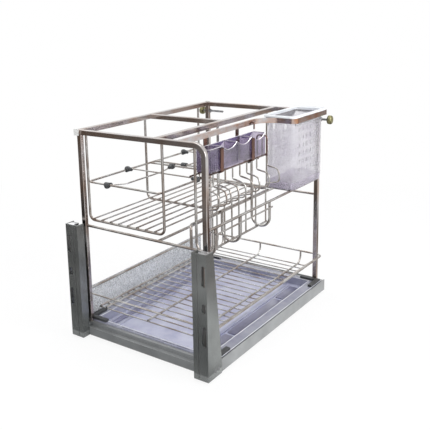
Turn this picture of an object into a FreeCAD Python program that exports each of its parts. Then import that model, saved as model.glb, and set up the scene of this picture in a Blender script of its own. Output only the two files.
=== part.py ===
import FreeCAD, Part
import math
import os
import re

import Sketcher

# Pull-out spice rack on full-extension runners, in millimetres.
# The pieces are drawn from the left, front, bottom corner of the base, and every placement then moves
# them so that the origin is on the cabinet floor, midway between the runners.

SIZES = (
    # Overall
    ("width", 324),                 # over the outer faces of the door brackets
    ("depth", 450),                 # front to back of the base
    ("top_height", 408),            # top of the upper frame above the bottom of the base
    ("base_gap", 2),                # bottom of the base above the cabinet floor
    # Folded base channels
    ("channel_width", 24),
    ("channel_sheet", 1.5),
    ("side_wall", 24),
    ("front_wall", 15.5),
    ("deck_height", 22),
    ("lip_depth", 12),
    ("flange_foot", 4),
    # Door brackets
    ("bracket_sheet", 2),
    ("bracket_width", 30),
    ("bracket_reach", 18),
    ("bracket_height", 229),
    ("bracket_side_top", 3),
    ("bracket_side_foot", 24.5),
    ("bracket_groove", 11),
    ("groove_width", 1),
    ("groove_depth", 0.6),
    ("slot_line", 7),
    ("slot_width", 8),
    ("slot_length", 37),
    ("short_slot_length", 17),
    ("lower_slot", 82.5),
    ("middle_slot", 133.5),
    ("upper_slot", 190.5),
    # Screws that hold the brackets and the posts
    ("bracket_screw", 4),
    ("bracket_screw_head", 7),
    ("bracket_screw_sink", 1.2),
    ("bracket_screw_length", 8),
    ("bracket_screw_height", 12),
    ("bracket_screw_front", 5),
    ("bracket_screw_rear", 15),
    ("post_screw", 4),
    ("post_screw_head", 7),
    ("post_screw_head_height", 2.4),
    ("post_screw_length", 12),
    ("screw_clearance", 0.2),
    ("plug_length", 12),
    # Tubes of the upper frame
    ("tube_wide", 10),
    ("tube_deep", 8),
    ("tube_wall", 1),
    ("tube_edge", 1.2),
    ("tube_bend", 20),
    ("post_inset", 16),
    ("front_post_place", 10),
    ("rear_post_inset", 5),
    ("left_rail_side", 13),
    ("left_rail_lead", 2),
    ("cap_size", 11.5),
    ("cap_thickness", 2),
    ("cap_plug", 8),
    ("crossbar_place", 223),
    ("inner_rail_inset", 129),
    # Flat strip that runs back and round the cutlery holder
    ("strip_inset", 78),
    ("strip_thick", 5),
    ("ring_reach", 152),
    ("ring_turn", 45),
    ("ring_corner", 8),
    ("ring_margin", 1),
    ("ring_return", 38),
    # Bottle basket
    ("hoop_wire", 5),
    ("hoop_left", 20),
    ("hoop_inset", 122),
    ("hoop_floor", 228),
    ("hoop_corner", 12),
    ("front_hoop", 30),
    ("middle_hoop", 207),
    ("rear_hoop_inset", 48),
    ("floor_wire", 3),
    ("bottle_wire_count", 8),
    ("bottle_wire_first", 32),
    ("bottle_wire_margin", 31.5),
    ("wire_overhang", 4),
    ("gallery_wire", 4),
    ("gallery_drop", 103),
    ("gallery_corner", 10),
    ("front_gallery_bar", 214),
    ("rear_gallery_bar", 232),
    # Sliding dividers
    ("divider_wire", 3),
    ("divider_lift", 3.2),
    ("clip_length", 18),
    ("clip_width", 12),
    ("clip_height", 13),
    ("clip_lead", 5.5),
    ("clip_socket", 8),
    ("clip_clearance", 0.05),
    ("front_cross_divider_place", 140),
    ("rear_cross_divider_place", 335),
    ("front_depth_divider_front", 73),
    ("front_depth_divider_middle", 90),
    ("front_depth_divider_rear", 83),
    ("rear_depth_divider_place", 100),
    ("divider_bend", 8),
    # Wires that tie the posts together
    ("tie_wire", 5),
    ("tie_height", 221),
    ("centre_bar_inset", 125),
    # Knife box and its cradle
    ("knife_inset", 70),
    ("knife_width", 29),
    ("knife_front", 58),
    ("box_to_guard", 10),
    ("knife_drop", 22),
    ("knife_wall", 1.5),
    ("first_partition", 98),
    ("second_cell_share", 0.32),
    ("third_cell_share", 0.665),
    ("scallop", 38),
    ("dip", 9),
    ("lift_gap", 0.3),
    ("cradle_drop", 68.5),
    ("strap_thick", 1.5),
    ("strap_width", 10),
    ("strap_bend", 3),
    ("strap_side_gap", 1.5),
    ("strap_lip", 2),
    ("front_strap", 93),
    ("cradle_wire", 3),
    ("cradle_front", 34),
    ("cradle_set_back", 36),
    ("guard_drop", 30),
    ("guard_bend", 6),
    ("cradle_left_margin", 4),
    ("cradle_right_margin", 3),
    ("hook_to_guard", 7),
    ("hook_reach", 4.5),
    ("hook_drop", 13),
    # Board rack
    ("rack_wire", 5),
    ("rack_inset", 58),
    ("rack_depth", 52),
    ("rail_under_holder", 3),
    ("front_rack_frame", 38),
    ("middle_frame_share", 1.36),
    ("frame_to_guard", 35),
    ("rack_top_drop", 6),
    ("rack_top_bend", 8),
    ("rack_stub", 4),
    ("rack_rail_rear", 300),
    ("rack_rail_turn", 30),
    ("upright_offset", 6),
    ("side_wire_drop", 11),
    ("bottom_wire", 4),
    ("bottom_wire_offset", 2.7),
    ("board_wire", 3),
    ("board_wire_knee_drop", 20.5),
    ("board_wire_knee_bend", 4),
    ("board_wire_shoulder", 25.5),
    ("board_wire_shoulder_drop", 25),
    ("board_wire_shoulder_bend", 11),
    ("board_wire_nose", 28.8),
    ("board_wire_nose_drop", 50),
    ("board_wire_nose_bend", 10),
    ("board_wire_heel_drop", 58),
    ("board_wire_heel_bend", 5),
    ("board_wire_first", 48),
    ("board_wire_second", 72),
    ("board_wire_third", 86.3),
    ("board_wire_last_gap", 37.1),
    ("board_wire_to_frame", 4.4),
    ("rack_rail_bend", 8),
    ("rack_rail_end_bend", 4),
    ("bend_play", 0.05),
    # Lower basket
    ("rim_wire", 4),
    ("rim_height", 81),
    ("rim_corner", 12),
    ("rim_inset", 8),
    ("front_rim_wire", 2.5),
    ("depth_wire", 4),
    ("depth_wire_first", 58),
    ("edge_wire_place", 43),
    ("depth_wire_height", 56),
    ("depth_wire_bend", 18),
    ("grid_wire", 2.5),
    ("grid_count", 22),
    ("grid_first", 24),
    ("grid_rear_inset", 15),
    ("grid_slope", 36),
    ("grid_bend", 12),
    ("weld_gap", 0.05),
    ("panel_thick", 1),
    ("panel_top", 84),
    ("panel_gap", 0.7),
    ("panel_end", 26),
    # Drip tray
    ("tray_flange", 2),
    ("tray_left_margin", 9),
    ("tray_right_margin", 3.5),
    ("tray_front_margin", 18.5),
    ("tray_rear_margin", 13.5),
    ("tray_gap", 1),
    ("tray_well_end", 26),
    ("tray_wall", 1.5),
    ("tray_floor", 6),
    ("vent_place", 22.5),
    ("vent_width", 1.6),
    ("vent_first", 95),
    ("vent_length", 29),
    ("vent_pitch", 33),
    ("vent_count", 5),
    ("side_vent_first", 64),
    ("side_vent_length", 14),
    ("side_vent_margin", 98),
    ("side_vent_count", 16),
    ("corner_clip_height", 5),
    ("corner_clip_arm", 9),
    ("corner_clip_across", 44),
    ("corner_clip_along", 43),
    ("corner_clip_inset", 1),
    ("corner_clip_front_inset", 0.5),
    # Cutlery holder
    ("holder_gap", 0.5),
    ("holder_inset", 70),
    ("holder_rear_inset", 16),
    ("holder_drop", 147),
    ("holder_wall", 1.8),
    ("holder_corner", 8),
    ("rim_overlap", 4),
    ("rim_lip", 1),
    ("rim_thick", 3.7),
    ("window_width", 7),
    ("window_length", 12),
    ("window_drop", 18),
    ("window_share", 0.3),
    # Side buffers on the rear posts
    ("rod_diameter", 5),
    ("rod_drop", 21),
    ("rod_length", 58.5),
    ("rod_in_knob", 5.5),
    ("rod_clearance", 0.05),
    ("left_knob_end", 1),
    ("right_knob_reach", 12),
    ("knob_diameter", 19),
    ("knob_length", 10),
    ("knob_round", 3),
    ("nut_across", 8),
    ("nut_thick", 4),
    # Full-extension ball runners
    ("slide_thick", 12.7),
    ("slide_sheet", 1),
    ("slide_height", 19),
    ("slide_front", 20),
    ("slide_rear_inset", 5),
    ("ball", 2.5),
    ("ball_play", 0.02),
    ("lip_gap", 2),
    ("foot_width", 7.3),
    ("floor_hole", 4.5),
    ("floor_hole_front", 60),
    ("floor_hole_inset", 60),
    ("cage_sheet", 0.6),
    ("cage_front", 150),
    ("cage_length", 120),
    ("cage_web_gap", 0.4),
    ("ball_count", 5),
    ("ball_pitch", 24),
    ("outer_ball_place", 5),
    ("inner_ball_place", 4),
)

# Places that follow from the sizes above, so that the pieces keep together when one of them changes
DERIVED = (
    ("inner_rail_side", "width - inner_rail_inset"),
    ("strip_side", "width - strip_inset"),
    ("ring_front", "depth - ring_reach"),
    ("hoop_right", "width - hoop_inset"),
    ("rear_hoop", "depth - rear_hoop_inset"),
    ("bottle_wire_pitch", "(hoop_right - hoop_left - bottle_wire_margin) / (bottle_wire_count - 1)"),
    ("gallery_height", "top_height - gallery_drop"),
    ("centre_bar_place", "width - centre_bar_inset"),
    ("knife_left", "width - knife_inset"),
    ("knife_top", "top_height - knife_drop"),
    ("cradle_floor", "top_height - cradle_drop"),
    ("strap_rise", "knife_top - strap_lip"),
    ("cradle_left_wire", "knife_left + cradle_left_margin"),
    ("cradle_right_wire", "knife_left + knife_width - cradle_right_margin"),
    ("rack_left", "width - rack_inset"),
    ("rack_top", "top_height - rack_top_drop"),
    ("upright_place", "rack_left + upright_offset"),
    ("bottom_wire_place", "cradle_right_wire - bottom_wire_offset"),
    ("holder_left", "width - holder_inset"),
    ("holder_rear", "depth - holder_rear_inset"),
    ("holder_floor", "top_height - holder_drop"),
    ("rim_left", "holder_left - rim_overlap"),
    ("rim_front", "ring_front - rim_lip"),
    ("rod_height", "top_height - rod_drop"),
    ("right_knob_end", "width + right_knob_reach"),
    ("slide_rear", "depth - slide_rear_inset"),
    ("floor_hole_rear", "depth - floor_hole_inset"),
    ("grid_last", "depth - grid_rear_inset"),
    ("depth_wire_pitch", "(width - 2 * depth_wire_first) / 2"),
    ("cradle_rear", "ring_front - cradle_set_back"),
    ("knife_rear", "cradle_rear - box_to_guard"),
    ("hook_place", "cradle_rear - hook_to_guard"),
    ("rear_rack_frame", "cradle_rear - frame_to_guard"),
    ("board_wire_last_pair", "rear_rack_frame - board_wire_to_frame"),
    ("board_wire_pitch", "(board_wire_last_pair - board_wire_third - board_wire_last_gap) / 4"),
    ("middle_rack_frame", "board_wire_third + middle_frame_share * board_wire_pitch"),
    ("second_partition", "first_partition + second_cell_share * (knife_rear - first_partition)"),
    ("third_partition", "first_partition + third_cell_share * (knife_rear - first_partition)"),
    ("rear_strap", "third_partition"),
    ("side_vent_pitch", "(depth - side_vent_margin) / side_vent_count"),
    ("rack_rail_height", "holder_floor - rail_under_holder"),
    ("rack_floor", "rack_rail_height - rack_depth"),
    ("side_wire_height", "rack_rail_height - side_wire_drop"),
)

doc = FreeCAD.newDocument("SpiceRack")
sizes = doc.addObject("Spreadsheet::Sheet", "Sizes")
rows = [(name, str(value)) for name, value in SIZES] + [(name, "=" + formula) for name, formula in DERIVED]
for row, (name, content) in enumerate(rows, 1):
    sizes.set("A%d" % row, name)
    sizes.setAlias("B%d" % row, name)
for row, (name, content) in enumerate(rows, 1):
    sizes.set("B%d" % row, content)
doc.recompute()

made = []


# Reading the sheet

def size(text):
    """The number that an expression of the sheet's names comes to."""
    return float(sizes.evalExpression(text))


def bound(text):
    """The same expression as another object of the document writes it."""
    return re.sub(r"[a-z][a-z_]*", lambda found: "Sizes." + found.group(0), text)


def side_place(side, text):
    """A distance in from the left side, or the same distance in from the right side."""
    if side == "left":
        return text
    return "width - (%s)" % text


def keep(thing):
    """Put a finished sub-part in the shared frame and on the list of files."""
    thing.setExpression("Placement.Base.x", bound("-width / 2"))
    thing.setExpression("Placement.Base.y", bound("-depth / 2"))
    thing.setExpression("Placement.Base.z", bound("base_gap"))
    made.append(thing)


# Bodies made from sketches

def new_body(label):
    body = doc.addObject("PartDesign::Body", label)
    body.Label = label
    body.AllowCompound = True
    return body


def new_sketch(body, role, name, lift="0"):
    """A sketch on one of the body's own planes, moved along that plane's normal."""
    plane = [feature for feature in body.Origin.OriginFeatures if feature.Role == role][0]
    sketch = body.newObject("Sketcher::SketchObject", name)
    sketch.AttachmentSupport = (plane, "")
    sketch.MapMode = "FlatFace"
    sketch.setExpression(".AttachmentOffset.Base.z", bound(lift))
    return sketch


def pin_point(sketch, geometry, vertex, across, up):
    """Hold a point of the sketch at two expressions."""
    first = sketch.addConstraint(Sketcher.Constraint("DistanceX", -1, 1, geometry, vertex, size(across)))
    sketch.setExpression("Constraints[%d]" % first, bound(across))
    second = sketch.addConstraint(Sketcher.Constraint("DistanceY", -1, 1, geometry, vertex, size(up)))
    sketch.setExpression("Constraints[%d]" % second, bound(up))


def outline(sketch, corners):
    """A closed outline through corners that are pairs of expressions."""
    points = [FreeCAD.Vector(size(across), size(up), 0) for across, up in corners]
    first = sketch.GeometryCount
    count = len(points)
    for index in range(count):
        sketch.addGeometry(Part.LineSegment(points[index], points[(index + 1) % count]))
    for index in range(count):
        after = first + (index + 1) % count
        sketch.addConstraint(Sketcher.Constraint("Coincident", first + index, 2, after, 1))
    for index, (across, up) in enumerate(corners):
        pin_point(sketch, first + index, 1, across, up)


def rectangle(sketch, left, bottom, right, top):
    outline(sketch, [(left, bottom), (right, bottom), (right, top), (left, top)])


def disc(sketch, across, up, diameter):
    radius = "(%s) / 2" % diameter
    centre = FreeCAD.Vector(size(across), size(up), 0)
    index = sketch.addGeometry(Part.Circle(centre, FreeCAD.Vector(0, 0, 1), size(radius)))
    pin_point(sketch, index, 3, across, up)
    held = sketch.addConstraint(Sketcher.Constraint("Radius", index, size(radius)))
    sketch.setExpression("Constraints[%d]" % held, bound(radius))


def upright_slot(sketch, across, middle, length, width):
    """A slot with round ends that stands upright in the sketch."""
    reach = "((%s) - (%s)) / 2" % (length, width)
    radius = size(width) / 2
    low = FreeCAD.Vector(size(across), size(middle) - size(reach), 0)
    high = FreeCAD.Vector(size(across), size(middle) + size(reach), 0)
    side = FreeCAD.Vector(radius, 0, 0)
    normal = FreeCAD.Vector(0, 0, 1)
    bottom = sketch.addGeometry(Part.ArcOfCircle(Part.Circle(low, normal, radius), math.pi, 2 * math.pi))
    right = sketch.addGeometry(Part.LineSegment(low + side, high + side))
    top = sketch.addGeometry(Part.ArcOfCircle(Part.Circle(high, normal, radius), 0, math.pi))
    left = sketch.addGeometry(Part.LineSegment(high - side, low - side))
    for one, end, other, start in ((bottom, 2, right, 1), (right, 2, top, 1),
                                   (top, 2, left, 1), (left, 2, bottom, 1)):
        sketch.addConstraint(Sketcher.Constraint("Tangent", one, end, other, start))
    pin_point(sketch, bottom, 3, across, "%s - %s" % (middle, reach))
    pin_point(sketch, top, 3, across, "%s + %s" % (middle, reach))
    held = sketch.addConstraint(Sketcher.Constraint("Radius", bottom, radius))
    sketch.setExpression("Constraints[%d]" % held, bound("(%s) / 2" % width))


def pad(body, sketch, length, backward=False):
    feature = body.newObject("PartDesign::Pad", sketch.Name + "_pad")
    feature.Profile = sketch
    feature.Reversed = backward
    feature.setExpression("Length", bound(length))
    doc.recompute()
    return feature


def pocket(body, sketch, length, backward=False):
    """Cut the sketch into the body; a pocket that meets nothing is an error."""
    before = body.Shape.Volume
    feature = body.newObject("PartDesign::Pocket", sketch.Name + "_pocket")
    feature.Profile = sketch
    feature.Reversed = backward
    feature.setExpression("Length", bound(length))
    doc.recompute()
    if not body.Shape.Volume < before:
        raise RuntimeError("%s cuts nothing from %s" % (sketch.Name, body.Label))
    return feature


def pattern(body, feature, role, step, count):
    """Repeat a feature in a row along one of the body's own axes."""
    axis = [item for item in body.Origin.OriginFeatures if item.Role == role][0]
    row = body.newObject("PartDesign::LinearPattern", feature.Name + "_row")
    row.Originals = [feature]
    row.Direction = (axis, [""])
    row.Mode = "Spacing"
    row.setExpression("Offset", bound(step))
    row.setExpression("Occurrences", bound(count))
    body.Tip = row
    doc.recompute()
    return row


def straight_edges(shape, direction):
    """Names of the straight edges that run along a direction."""
    names = []
    for index, edge in enumerate(shape.Edges, 1):
        if isinstance(edge.Curve, Part.Line) and abs(abs(edge.Curve.Direction * direction) - 1) < 1e-9:
            names.append((index, edge))
    return names


def round_corners(body, feature, direction, radius):
    """Round the outer corners of a body that was drawn out along a direction."""
    box = feature.Shape.BoundBox
    chosen = []
    for index, edge in straight_edges(feature.Shape, direction):
        middle = edge.valueAt((edge.FirstParameter + edge.LastParameter) / 2)
        sides = ((middle.x, box.XMin, box.XMax, direction.x), (middle.y, box.YMin, box.YMax, direction.y),
                 (middle.z, box.ZMin, box.ZMax, direction.z))
        if all(min(abs(place - low), abs(place - high)) < 1e-6 or abs(along) > 0.5
               for place, low, high, along in sides):
            chosen.append("Edge%d" % index)
    fillet = body.newObject("PartDesign::Fillet", feature.Name + "_rounded")
    fillet.Base = (feature, chosen)
    fillet.setExpression("Radius", bound(radius))
    doc.recompute()
    return fillet


# Wires and tubes that are bent along runs and arcs

def bent_path(points, bend):
    """Straight runs through the points, with an arc of one radius at each turn."""
    bends = bend if isinstance(bend, (list, tuple)) else [bend] * (len(points) - 2)
    edges = []
    start = points[0]
    for index in range(1, len(points) - 1):
        corner = points[index]
        back = (points[index - 1] - corner).normalize()
        ahead = (points[index + 1] - corner).normalize()
        half_turn = (math.pi - back.getAngle(ahead)) / 2
        reach = bends[index - 1] * math.tan(half_turn)
        enter = corner + back * reach
        leave = corner + ahead * reach
        inward = (back + ahead).normalize()
        middle = corner + inward * (bends[index - 1] / math.cos(half_turn) - bends[index - 1])
        if (enter - start).Length > 1e-6:
            edges.append(Part.LineSegment(start, enter).toShape())
        edges.append(Part.Arc(enter, middle, leave).toShape())
        start = leave
    edges.append(Part.LineSegment(start, points[-1]).toShape())
    return Part.Wire(edges)


def round_section(centre, direction, diameter):
    return Part.Wire([Part.makeCircle(diameter / 2, centre, direction)])


def box_section(centre, across, up, wide, tall):
    corners = []
    for right, high in ((-1, -1), (1, -1), (1, 1), (-1, 1)):
        corners.append(centre + across * (right * wide / 2) + up * (high * tall / 2))
    return Part.makePolygon(corners + [corners[0]])


def rounded_box_section(centre, across, up, wide, tall, radius):
    """A box section whose corners are arcs."""
    edges = []
    previous = None
    first = None
    for right, high in ((-1, -1), (1, -1), (1, 1), (-1, 1)):
        hub = centre + across * (right * (wide / 2 - radius)) + up * (high * (tall / 2 - radius))
        flat = hub + up * (high * radius)
        steep = hub + across * (right * radius)
        middle = hub + (across * right + up * high) * (radius * math.sqrt(0.5))
        enter, leave = (steep, flat) if right * high > 0 else (flat, steep)
        if previous is not None:
            edges.append(Part.LineSegment(previous, enter).toShape())
        else:
            first = enter
        edges.append(Part.Arc(enter, middle, leave).toShape())
        previous = leave
    edges.append(Part.LineSegment(previous, first).toShape())
    return Part.Wire(edges)


def drawn_along(path, section):
    """A solid swept along a path, whose volume is compared with section times length."""
    solid = path.makePipeShell([section], True, True)
    expected = Part.Face(section).Area * path.Length
    if abs(abs(solid.Volume) - expected) > 0.02 * expected:
        raise RuntimeError("a bent wire has volume %.1f instead of %.1f" % (solid.Volume, expected))
    return solid


def bent_wire(points, diameter, bend):
    path = bent_path(points, bend)
    return drawn_along(path, round_section(points[0], points[1] - points[0], diameter))


def straight_wire(start, end, diameter):
    return Part.makeCylinder(diameter / 2, (end - start).Length, start, end - start)


def shaped(label, solids):
    """A sub-part whose solids come from paths, as one solid or a group of separate ones."""
    part = doc.addObject("Part::Feature", label)
    part.Label = label
    part.Shape = solids[0] if len(solids) == 1 else Part.makeCompound(solids)
    keep(part)
    return part


def point(across, along, up):
    """A point from three expressions or numbers."""
    numbers = [size(item) if isinstance(item, str) else item for item in (across, along, up)]
    return FreeCAD.Vector(*numbers)


ALONG_X = FreeCAD.Vector(1, 0, 0)
ALONG_Y = FreeCAD.Vector(0, 1, 0)
ALONG_Z = FreeCAD.Vector(0, 0, 1)

BASE_EDGE = "bracket_sheet"
POST_MIDDLE = "post_inset + tube_wide / 2"
FRONT_POST = "front_post_place + tube_deep / 2"
REAR_POST = "depth - rear_post_inset - tube_deep / 2"
RAIL_UNDER = "top_height - tube_wide"
RAIL_MIDDLE = "top_height - tube_wide / 2"
RIGHT_POST_MIDDLE = "width - post_inset - tube_wide / 2"


# Base

def side_channel(side):
    """Folded channel along one side: outer wall, deck and inner flange, with a groove behind the wall."""
    body = new_body(side + "_base_channel")
    section = new_sketch(body, "XZ_Plane", side + "_channel_section")
    steps = (("0", "0"), ("channel_sheet", "0"), ("channel_sheet", "deck_height - channel_sheet"),
             ("channel_width - channel_sheet", "deck_height - channel_sheet"),
             ("channel_width - channel_sheet", "flange_foot"), ("channel_width", "flange_foot"),
             ("channel_width", "deck_height"), ("channel_sheet", "deck_height"),
             ("channel_sheet", "side_wall"), ("0", "side_wall"))
    outline(section, [(side_place(side, "%s + %s" % (BASE_EDGE, inward)), up) for inward, up in steps])
    pad(body, section, "depth", True)
    holes = new_sketch(body, "XY_Plane", side + "_post_holes", "flange_foot")
    for along in (FRONT_POST, REAR_POST):
        disc(holes, side_place(side, POST_MIDDLE), along, "post_screw + 2 * screw_clearance")
    pocket(body, holes, "side_wall", True)
    lift = "0" if side == "left" else "width - bracket_screw_length"
    screws = new_sketch(body, "YZ_Plane", side + "_bracket_holes", lift)
    for along in ("bracket_screw_front", "bracket_screw_rear"):
        disc(screws, along, "bracket_screw_height", "bracket_screw")
    pocket(body, screws, "bracket_screw_length", True)
    keep(body)


def front_channel():
    """Stepped channel between the side channels: a low wall, a lip, then the deck."""
    body = new_body("front_base_channel")
    section = new_sketch(body, "YZ_Plane", "front_channel_section", BASE_EDGE + " + channel_width")
    outline(section, [("0", "0"), ("channel_sheet", "0"), ("channel_sheet", "front_wall - channel_sheet"),
                      ("lip_depth", "front_wall - channel_sheet"),
                      ("lip_depth", "deck_height - channel_sheet"),
                      ("channel_width - channel_sheet", "deck_height - channel_sheet"),
                      ("channel_width - channel_sheet", "flange_foot"), ("channel_width", "flange_foot"),
                      ("channel_width", "deck_height"), ("lip_depth - channel_sheet", "deck_height"),
                      ("lip_depth - channel_sheet", "front_wall"), ("0", "front_wall")])
    pad(body, section, "width - 2 * (bracket_sheet + channel_width)")
    keep(body)


def rear_channel():
    body = new_body("rear_base_channel")
    section = new_sketch(body, "YZ_Plane", "rear_channel_section", BASE_EDGE + " + channel_width")
    steps = (("0", "0"), ("channel_sheet", "0"), ("channel_sheet", "deck_height - channel_sheet"),
             ("channel_width - channel_sheet", "deck_height - channel_sheet"),
             ("channel_width - channel_sheet", "flange_foot"), ("channel_width", "flange_foot"),
             ("channel_width", "deck_height"), ("channel_sheet", "deck_height"),
             ("channel_sheet", "side_wall"), ("0", "side_wall"))
    outline(section, [("depth - (%s)" % inward, up) for inward, up in steps])
    pad(body, section, "width - 2 * (bracket_sheet + channel_width)")
    keep(body)


def drip_tray():
    """Moulded tray whose flange lies on the decks and whose well hangs between the channels."""
    body = new_body("drip_tray")
    flange = new_sketch(body, "XY_Plane", "tray_flange_outline", "deck_height")
    edge = BASE_EDGE + " + tray_left_margin"
    rectangle(flange, edge, "tray_front_margin", side_place("right", BASE_EDGE + " + tray_right_margin"),
              "depth - tray_rear_margin")
    pad(body, flange, "tray_flange")
    well = new_sketch(body, "XY_Plane", "tray_well_outline", "deck_height")
    inner = BASE_EDGE + " + channel_width + tray_gap"
    rectangle(well, inner, "tray_well_end", side_place("right", inner), "depth - tray_well_end")
    pad(body, well, "deck_height - tray_floor", True)
    hollow = new_sketch(body, "XY_Plane", "tray_hollow_outline", "tray_floor + tray_wall")
    inside = inner + " + tray_wall"
    rectangle(hollow, inside, "tray_well_end + tray_wall", side_place("right", inside),
              "depth - tray_well_end - tray_wall")
    pocket(body, hollow, "side_wall", True)
    vents = new_sketch(body, "XY_Plane", "front_vents", "deck_height")
    for index in range(int(size("vent_count"))):
        start = "vent_first + %d * vent_pitch" % index
        rectangle(vents, start, "vent_place - vent_width / 2", start + " + vent_length",
                  "vent_place + vent_width / 2")
    pocket(body, vents, "tray_flange", True)
    side_vent = new_sketch(body, "XY_Plane", "side_vent", "deck_height")
    rectangle(side_vent, edge + " + 3 * vent_width", "side_vent_first",
              edge + " + 4 * vent_width", "side_vent_first + side_vent_length")
    first = pocket(body, side_vent, "tray_flange", True)
    pattern(body, first, "Y_Axis", "side_vent_pitch", "side_vent_count")
    keep(body)


def tray_corner_clips():
    """Four angled clips on the corners of the tray's flange."""
    body = new_body("tray_corner_clips")
    shape = new_sketch(body, "XY_Plane", "corner_clip_outlines", "deck_height + tray_flange")
    for side in ("left", "right"):
        edge = "%s + tray_%s_margin + corner_clip_inset" % (BASE_EDGE, side)
        for front in (True, False):
            corners = []
            for across, along in (("0", "0"), ("corner_clip_across", "0"),
                                  ("corner_clip_across", "corner_clip_arm"),
                                  ("corner_clip_arm", "corner_clip_arm"),
                                  ("corner_clip_arm", "corner_clip_along"), ("0", "corner_clip_along")):
                deep = "tray_front_margin + corner_clip_front_inset + %s" % along
                if not front:
                    deep = "depth - tray_rear_margin - corner_clip_front_inset - %s" % along
                corners.append((side_place(side, "%s + %s" % (edge, across)), deep))
            outline(shape, corners)
    pad(body, shape, "corner_clip_height")
    keep(body)


# Door brackets

def door_bracket(side):
    """Folded upright that carries the cabinet door: a slotted front web between two flanges."""
    body = new_body(side + "_door_bracket")
    plan = new_sketch(body, "XY_Plane", side + "_bracket_plan")
    steps = (("0", "-bracket_reach"), ("bracket_width", "-bracket_reach"), ("bracket_width", "0"),
             ("bracket_width - bracket_sheet", "0"),
             ("bracket_width - bracket_sheet", "-bracket_reach + bracket_sheet"),
             ("bracket_sheet", "-bracket_reach + bracket_sheet"), ("bracket_sheet", "bracket_side_foot"),
             ("0", "bracket_side_foot"))
    outline(plan, [(side_place(side, inward), along) for inward, along in steps])
    pad(body, plan, "bracket_height")
    outside = "-bracket_sheet" if side == "left" else "width - 2 * bracket_sheet"
    taper = new_sketch(body, "YZ_Plane", side + "_bracket_taper", outside)
    outline(taper, [("bracket_side_foot", "side_wall"), ("bracket_side_foot", "bracket_height"),
                    ("bracket_side_top", "bracket_height")])
    pocket(body, taper, "3 * bracket_sheet", True)
    slots = new_sketch(body, "XZ_Plane", side + "_bracket_slots", "bracket_reach + bracket_sheet")
    for middle, length in (("lower_slot", "slot_length"), ("middle_slot", "short_slot_length"),
                           ("upper_slot", "slot_length")):
        upright_slot(slots, side_place(side, "slot_line"), middle, length, "slot_width")
    pocket(body, slots, "3 * bracket_sheet")
    groove = new_sketch(body, "XZ_Plane", side + "_bracket_groove", "bracket_reach + bracket_sheet")
    rectangle(groove, side_place(side, "bracket_width - bracket_groove - groove_width / 2"), "0",
              side_place(side, "bracket_width - bracket_groove + groove_width / 2"), "bracket_height")
    pocket(body, groove, "bracket_sheet + groove_depth")
    holes = new_sketch(body, "YZ_Plane", side + "_bracket_screw_holes", outside)
    for along in ("bracket_screw_front", "bracket_screw_rear"):
        disc(holes, along, "bracket_screw_height", "bracket_screw + 2 * screw_clearance")
    pocket(body, holes, "3 * bracket_sheet", True)
    start = "0" if side == "left" else "width - bracket_screw_sink"
    sinks = new_sketch(body, "YZ_Plane", side + "_bracket_screw_sinks", start)
    for along in ("bracket_screw_front", "bracket_screw_rear"):
        disc(sinks, along, "bracket_screw_height", "bracket_screw_head + 2 * screw_clearance")
    pocket(body, sinks, "bracket_screw_sink", True)
    keep(body)


def bracket_screws():
    """Flush screws through the outer flange of each bracket into the side channel."""
    body = new_body("bracket_screws")
    for side in ("left", "right"):
        start = "0" if side == "left" else "width - bracket_screw_sink"
        heads = new_sketch(body, "YZ_Plane", side + "_screw_heads", start)
        inner = "bracket_screw_sink" if side == "left" else "width - bracket_screw_length"
        shanks = new_sketch(body, "YZ_Plane", side + "_screw_shanks", inner)
        for along in ("bracket_screw_front", "bracket_screw_rear"):
            disc(heads, along, "bracket_screw_height", "bracket_screw_head")
            disc(shanks, along, "bracket_screw_height", "bracket_screw")
        pad(body, heads, "bracket_screw_sink")
        pad(body, shanks, "bracket_screw_length - bracket_screw_sink")
    keep(body)


# Upper frame

def box_tube(label, role, lift, corners, length, direction, backward=False):
    """A straight box tube with rounded outer edges."""
    body = new_body(label)
    section = new_sketch(body, role, label + "_section", lift)
    left, bottom, right, top = corners
    rectangle(section, left, bottom, right, top)
    rectangle(section, left + " + tube_wall", bottom + " + tube_wall", right + " - tube_wall",
              top + " - tube_wall")
    tube = pad(body, section, length, backward)
    round_corners(body, tube, direction, "tube_edge")
    return body


def left_posts():
    length = "top_height - tube_wide - deck_height"
    left = "post_inset"
    right = "post_inset + tube_wide"
    front = box_tube("left_front_post", "XY_Plane", "deck_height",
                     (left, "front_post_place", right, "front_post_place + tube_deep"), length, ALONG_Z)
    keep(front)
    rear = box_tube("left_rear_post", "XY_Plane", "deck_height",
                    (left, "depth - rear_post_inset - tube_deep", right, "depth - rear_post_inset"),
                    length, ALONG_Z)
    hole = new_sketch(rear, "YZ_Plane", "left_rod_hole", "post_inset - tube_wall")
    disc(hole, REAR_POST, "rod_height", "rod_diameter + 2 * rod_clearance")
    pocket(rear, hole, "tube_wide + 2 * tube_wall", True)
    keep(rear)


def top_rails():
    rail = box_tube("left_top_rail", "XZ_Plane", "-(front_post_place - left_rail_lead)",
                    ("left_rail_side", RAIL_UNDER, "left_rail_side + tube_wide", "top_height"),
                    "depth - rear_post_inset - front_post_place + left_rail_lead", ALONG_Y, True)
    keep(rail)
    bar = box_tube("middle_top_bar", "YZ_Plane", "left_rail_side + tube_wide",
                   ("crossbar_place", RAIL_UNDER, "crossbar_place + tube_deep", "top_height"),
                   "inner_rail_side - left_rail_side - tube_wide", ALONG_X)
    keep(bar)
    inner = box_tube("inner_top_rail", "XZ_Plane", "-(front_post_place + tube_deep)",
                     ("inner_rail_side", RAIL_UNDER, "inner_rail_side + tube_wide", "top_height"),
                     "depth - rear_post_inset - front_post_place - 2 * tube_deep", ALONG_Y, True)
    keep(inner)


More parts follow.
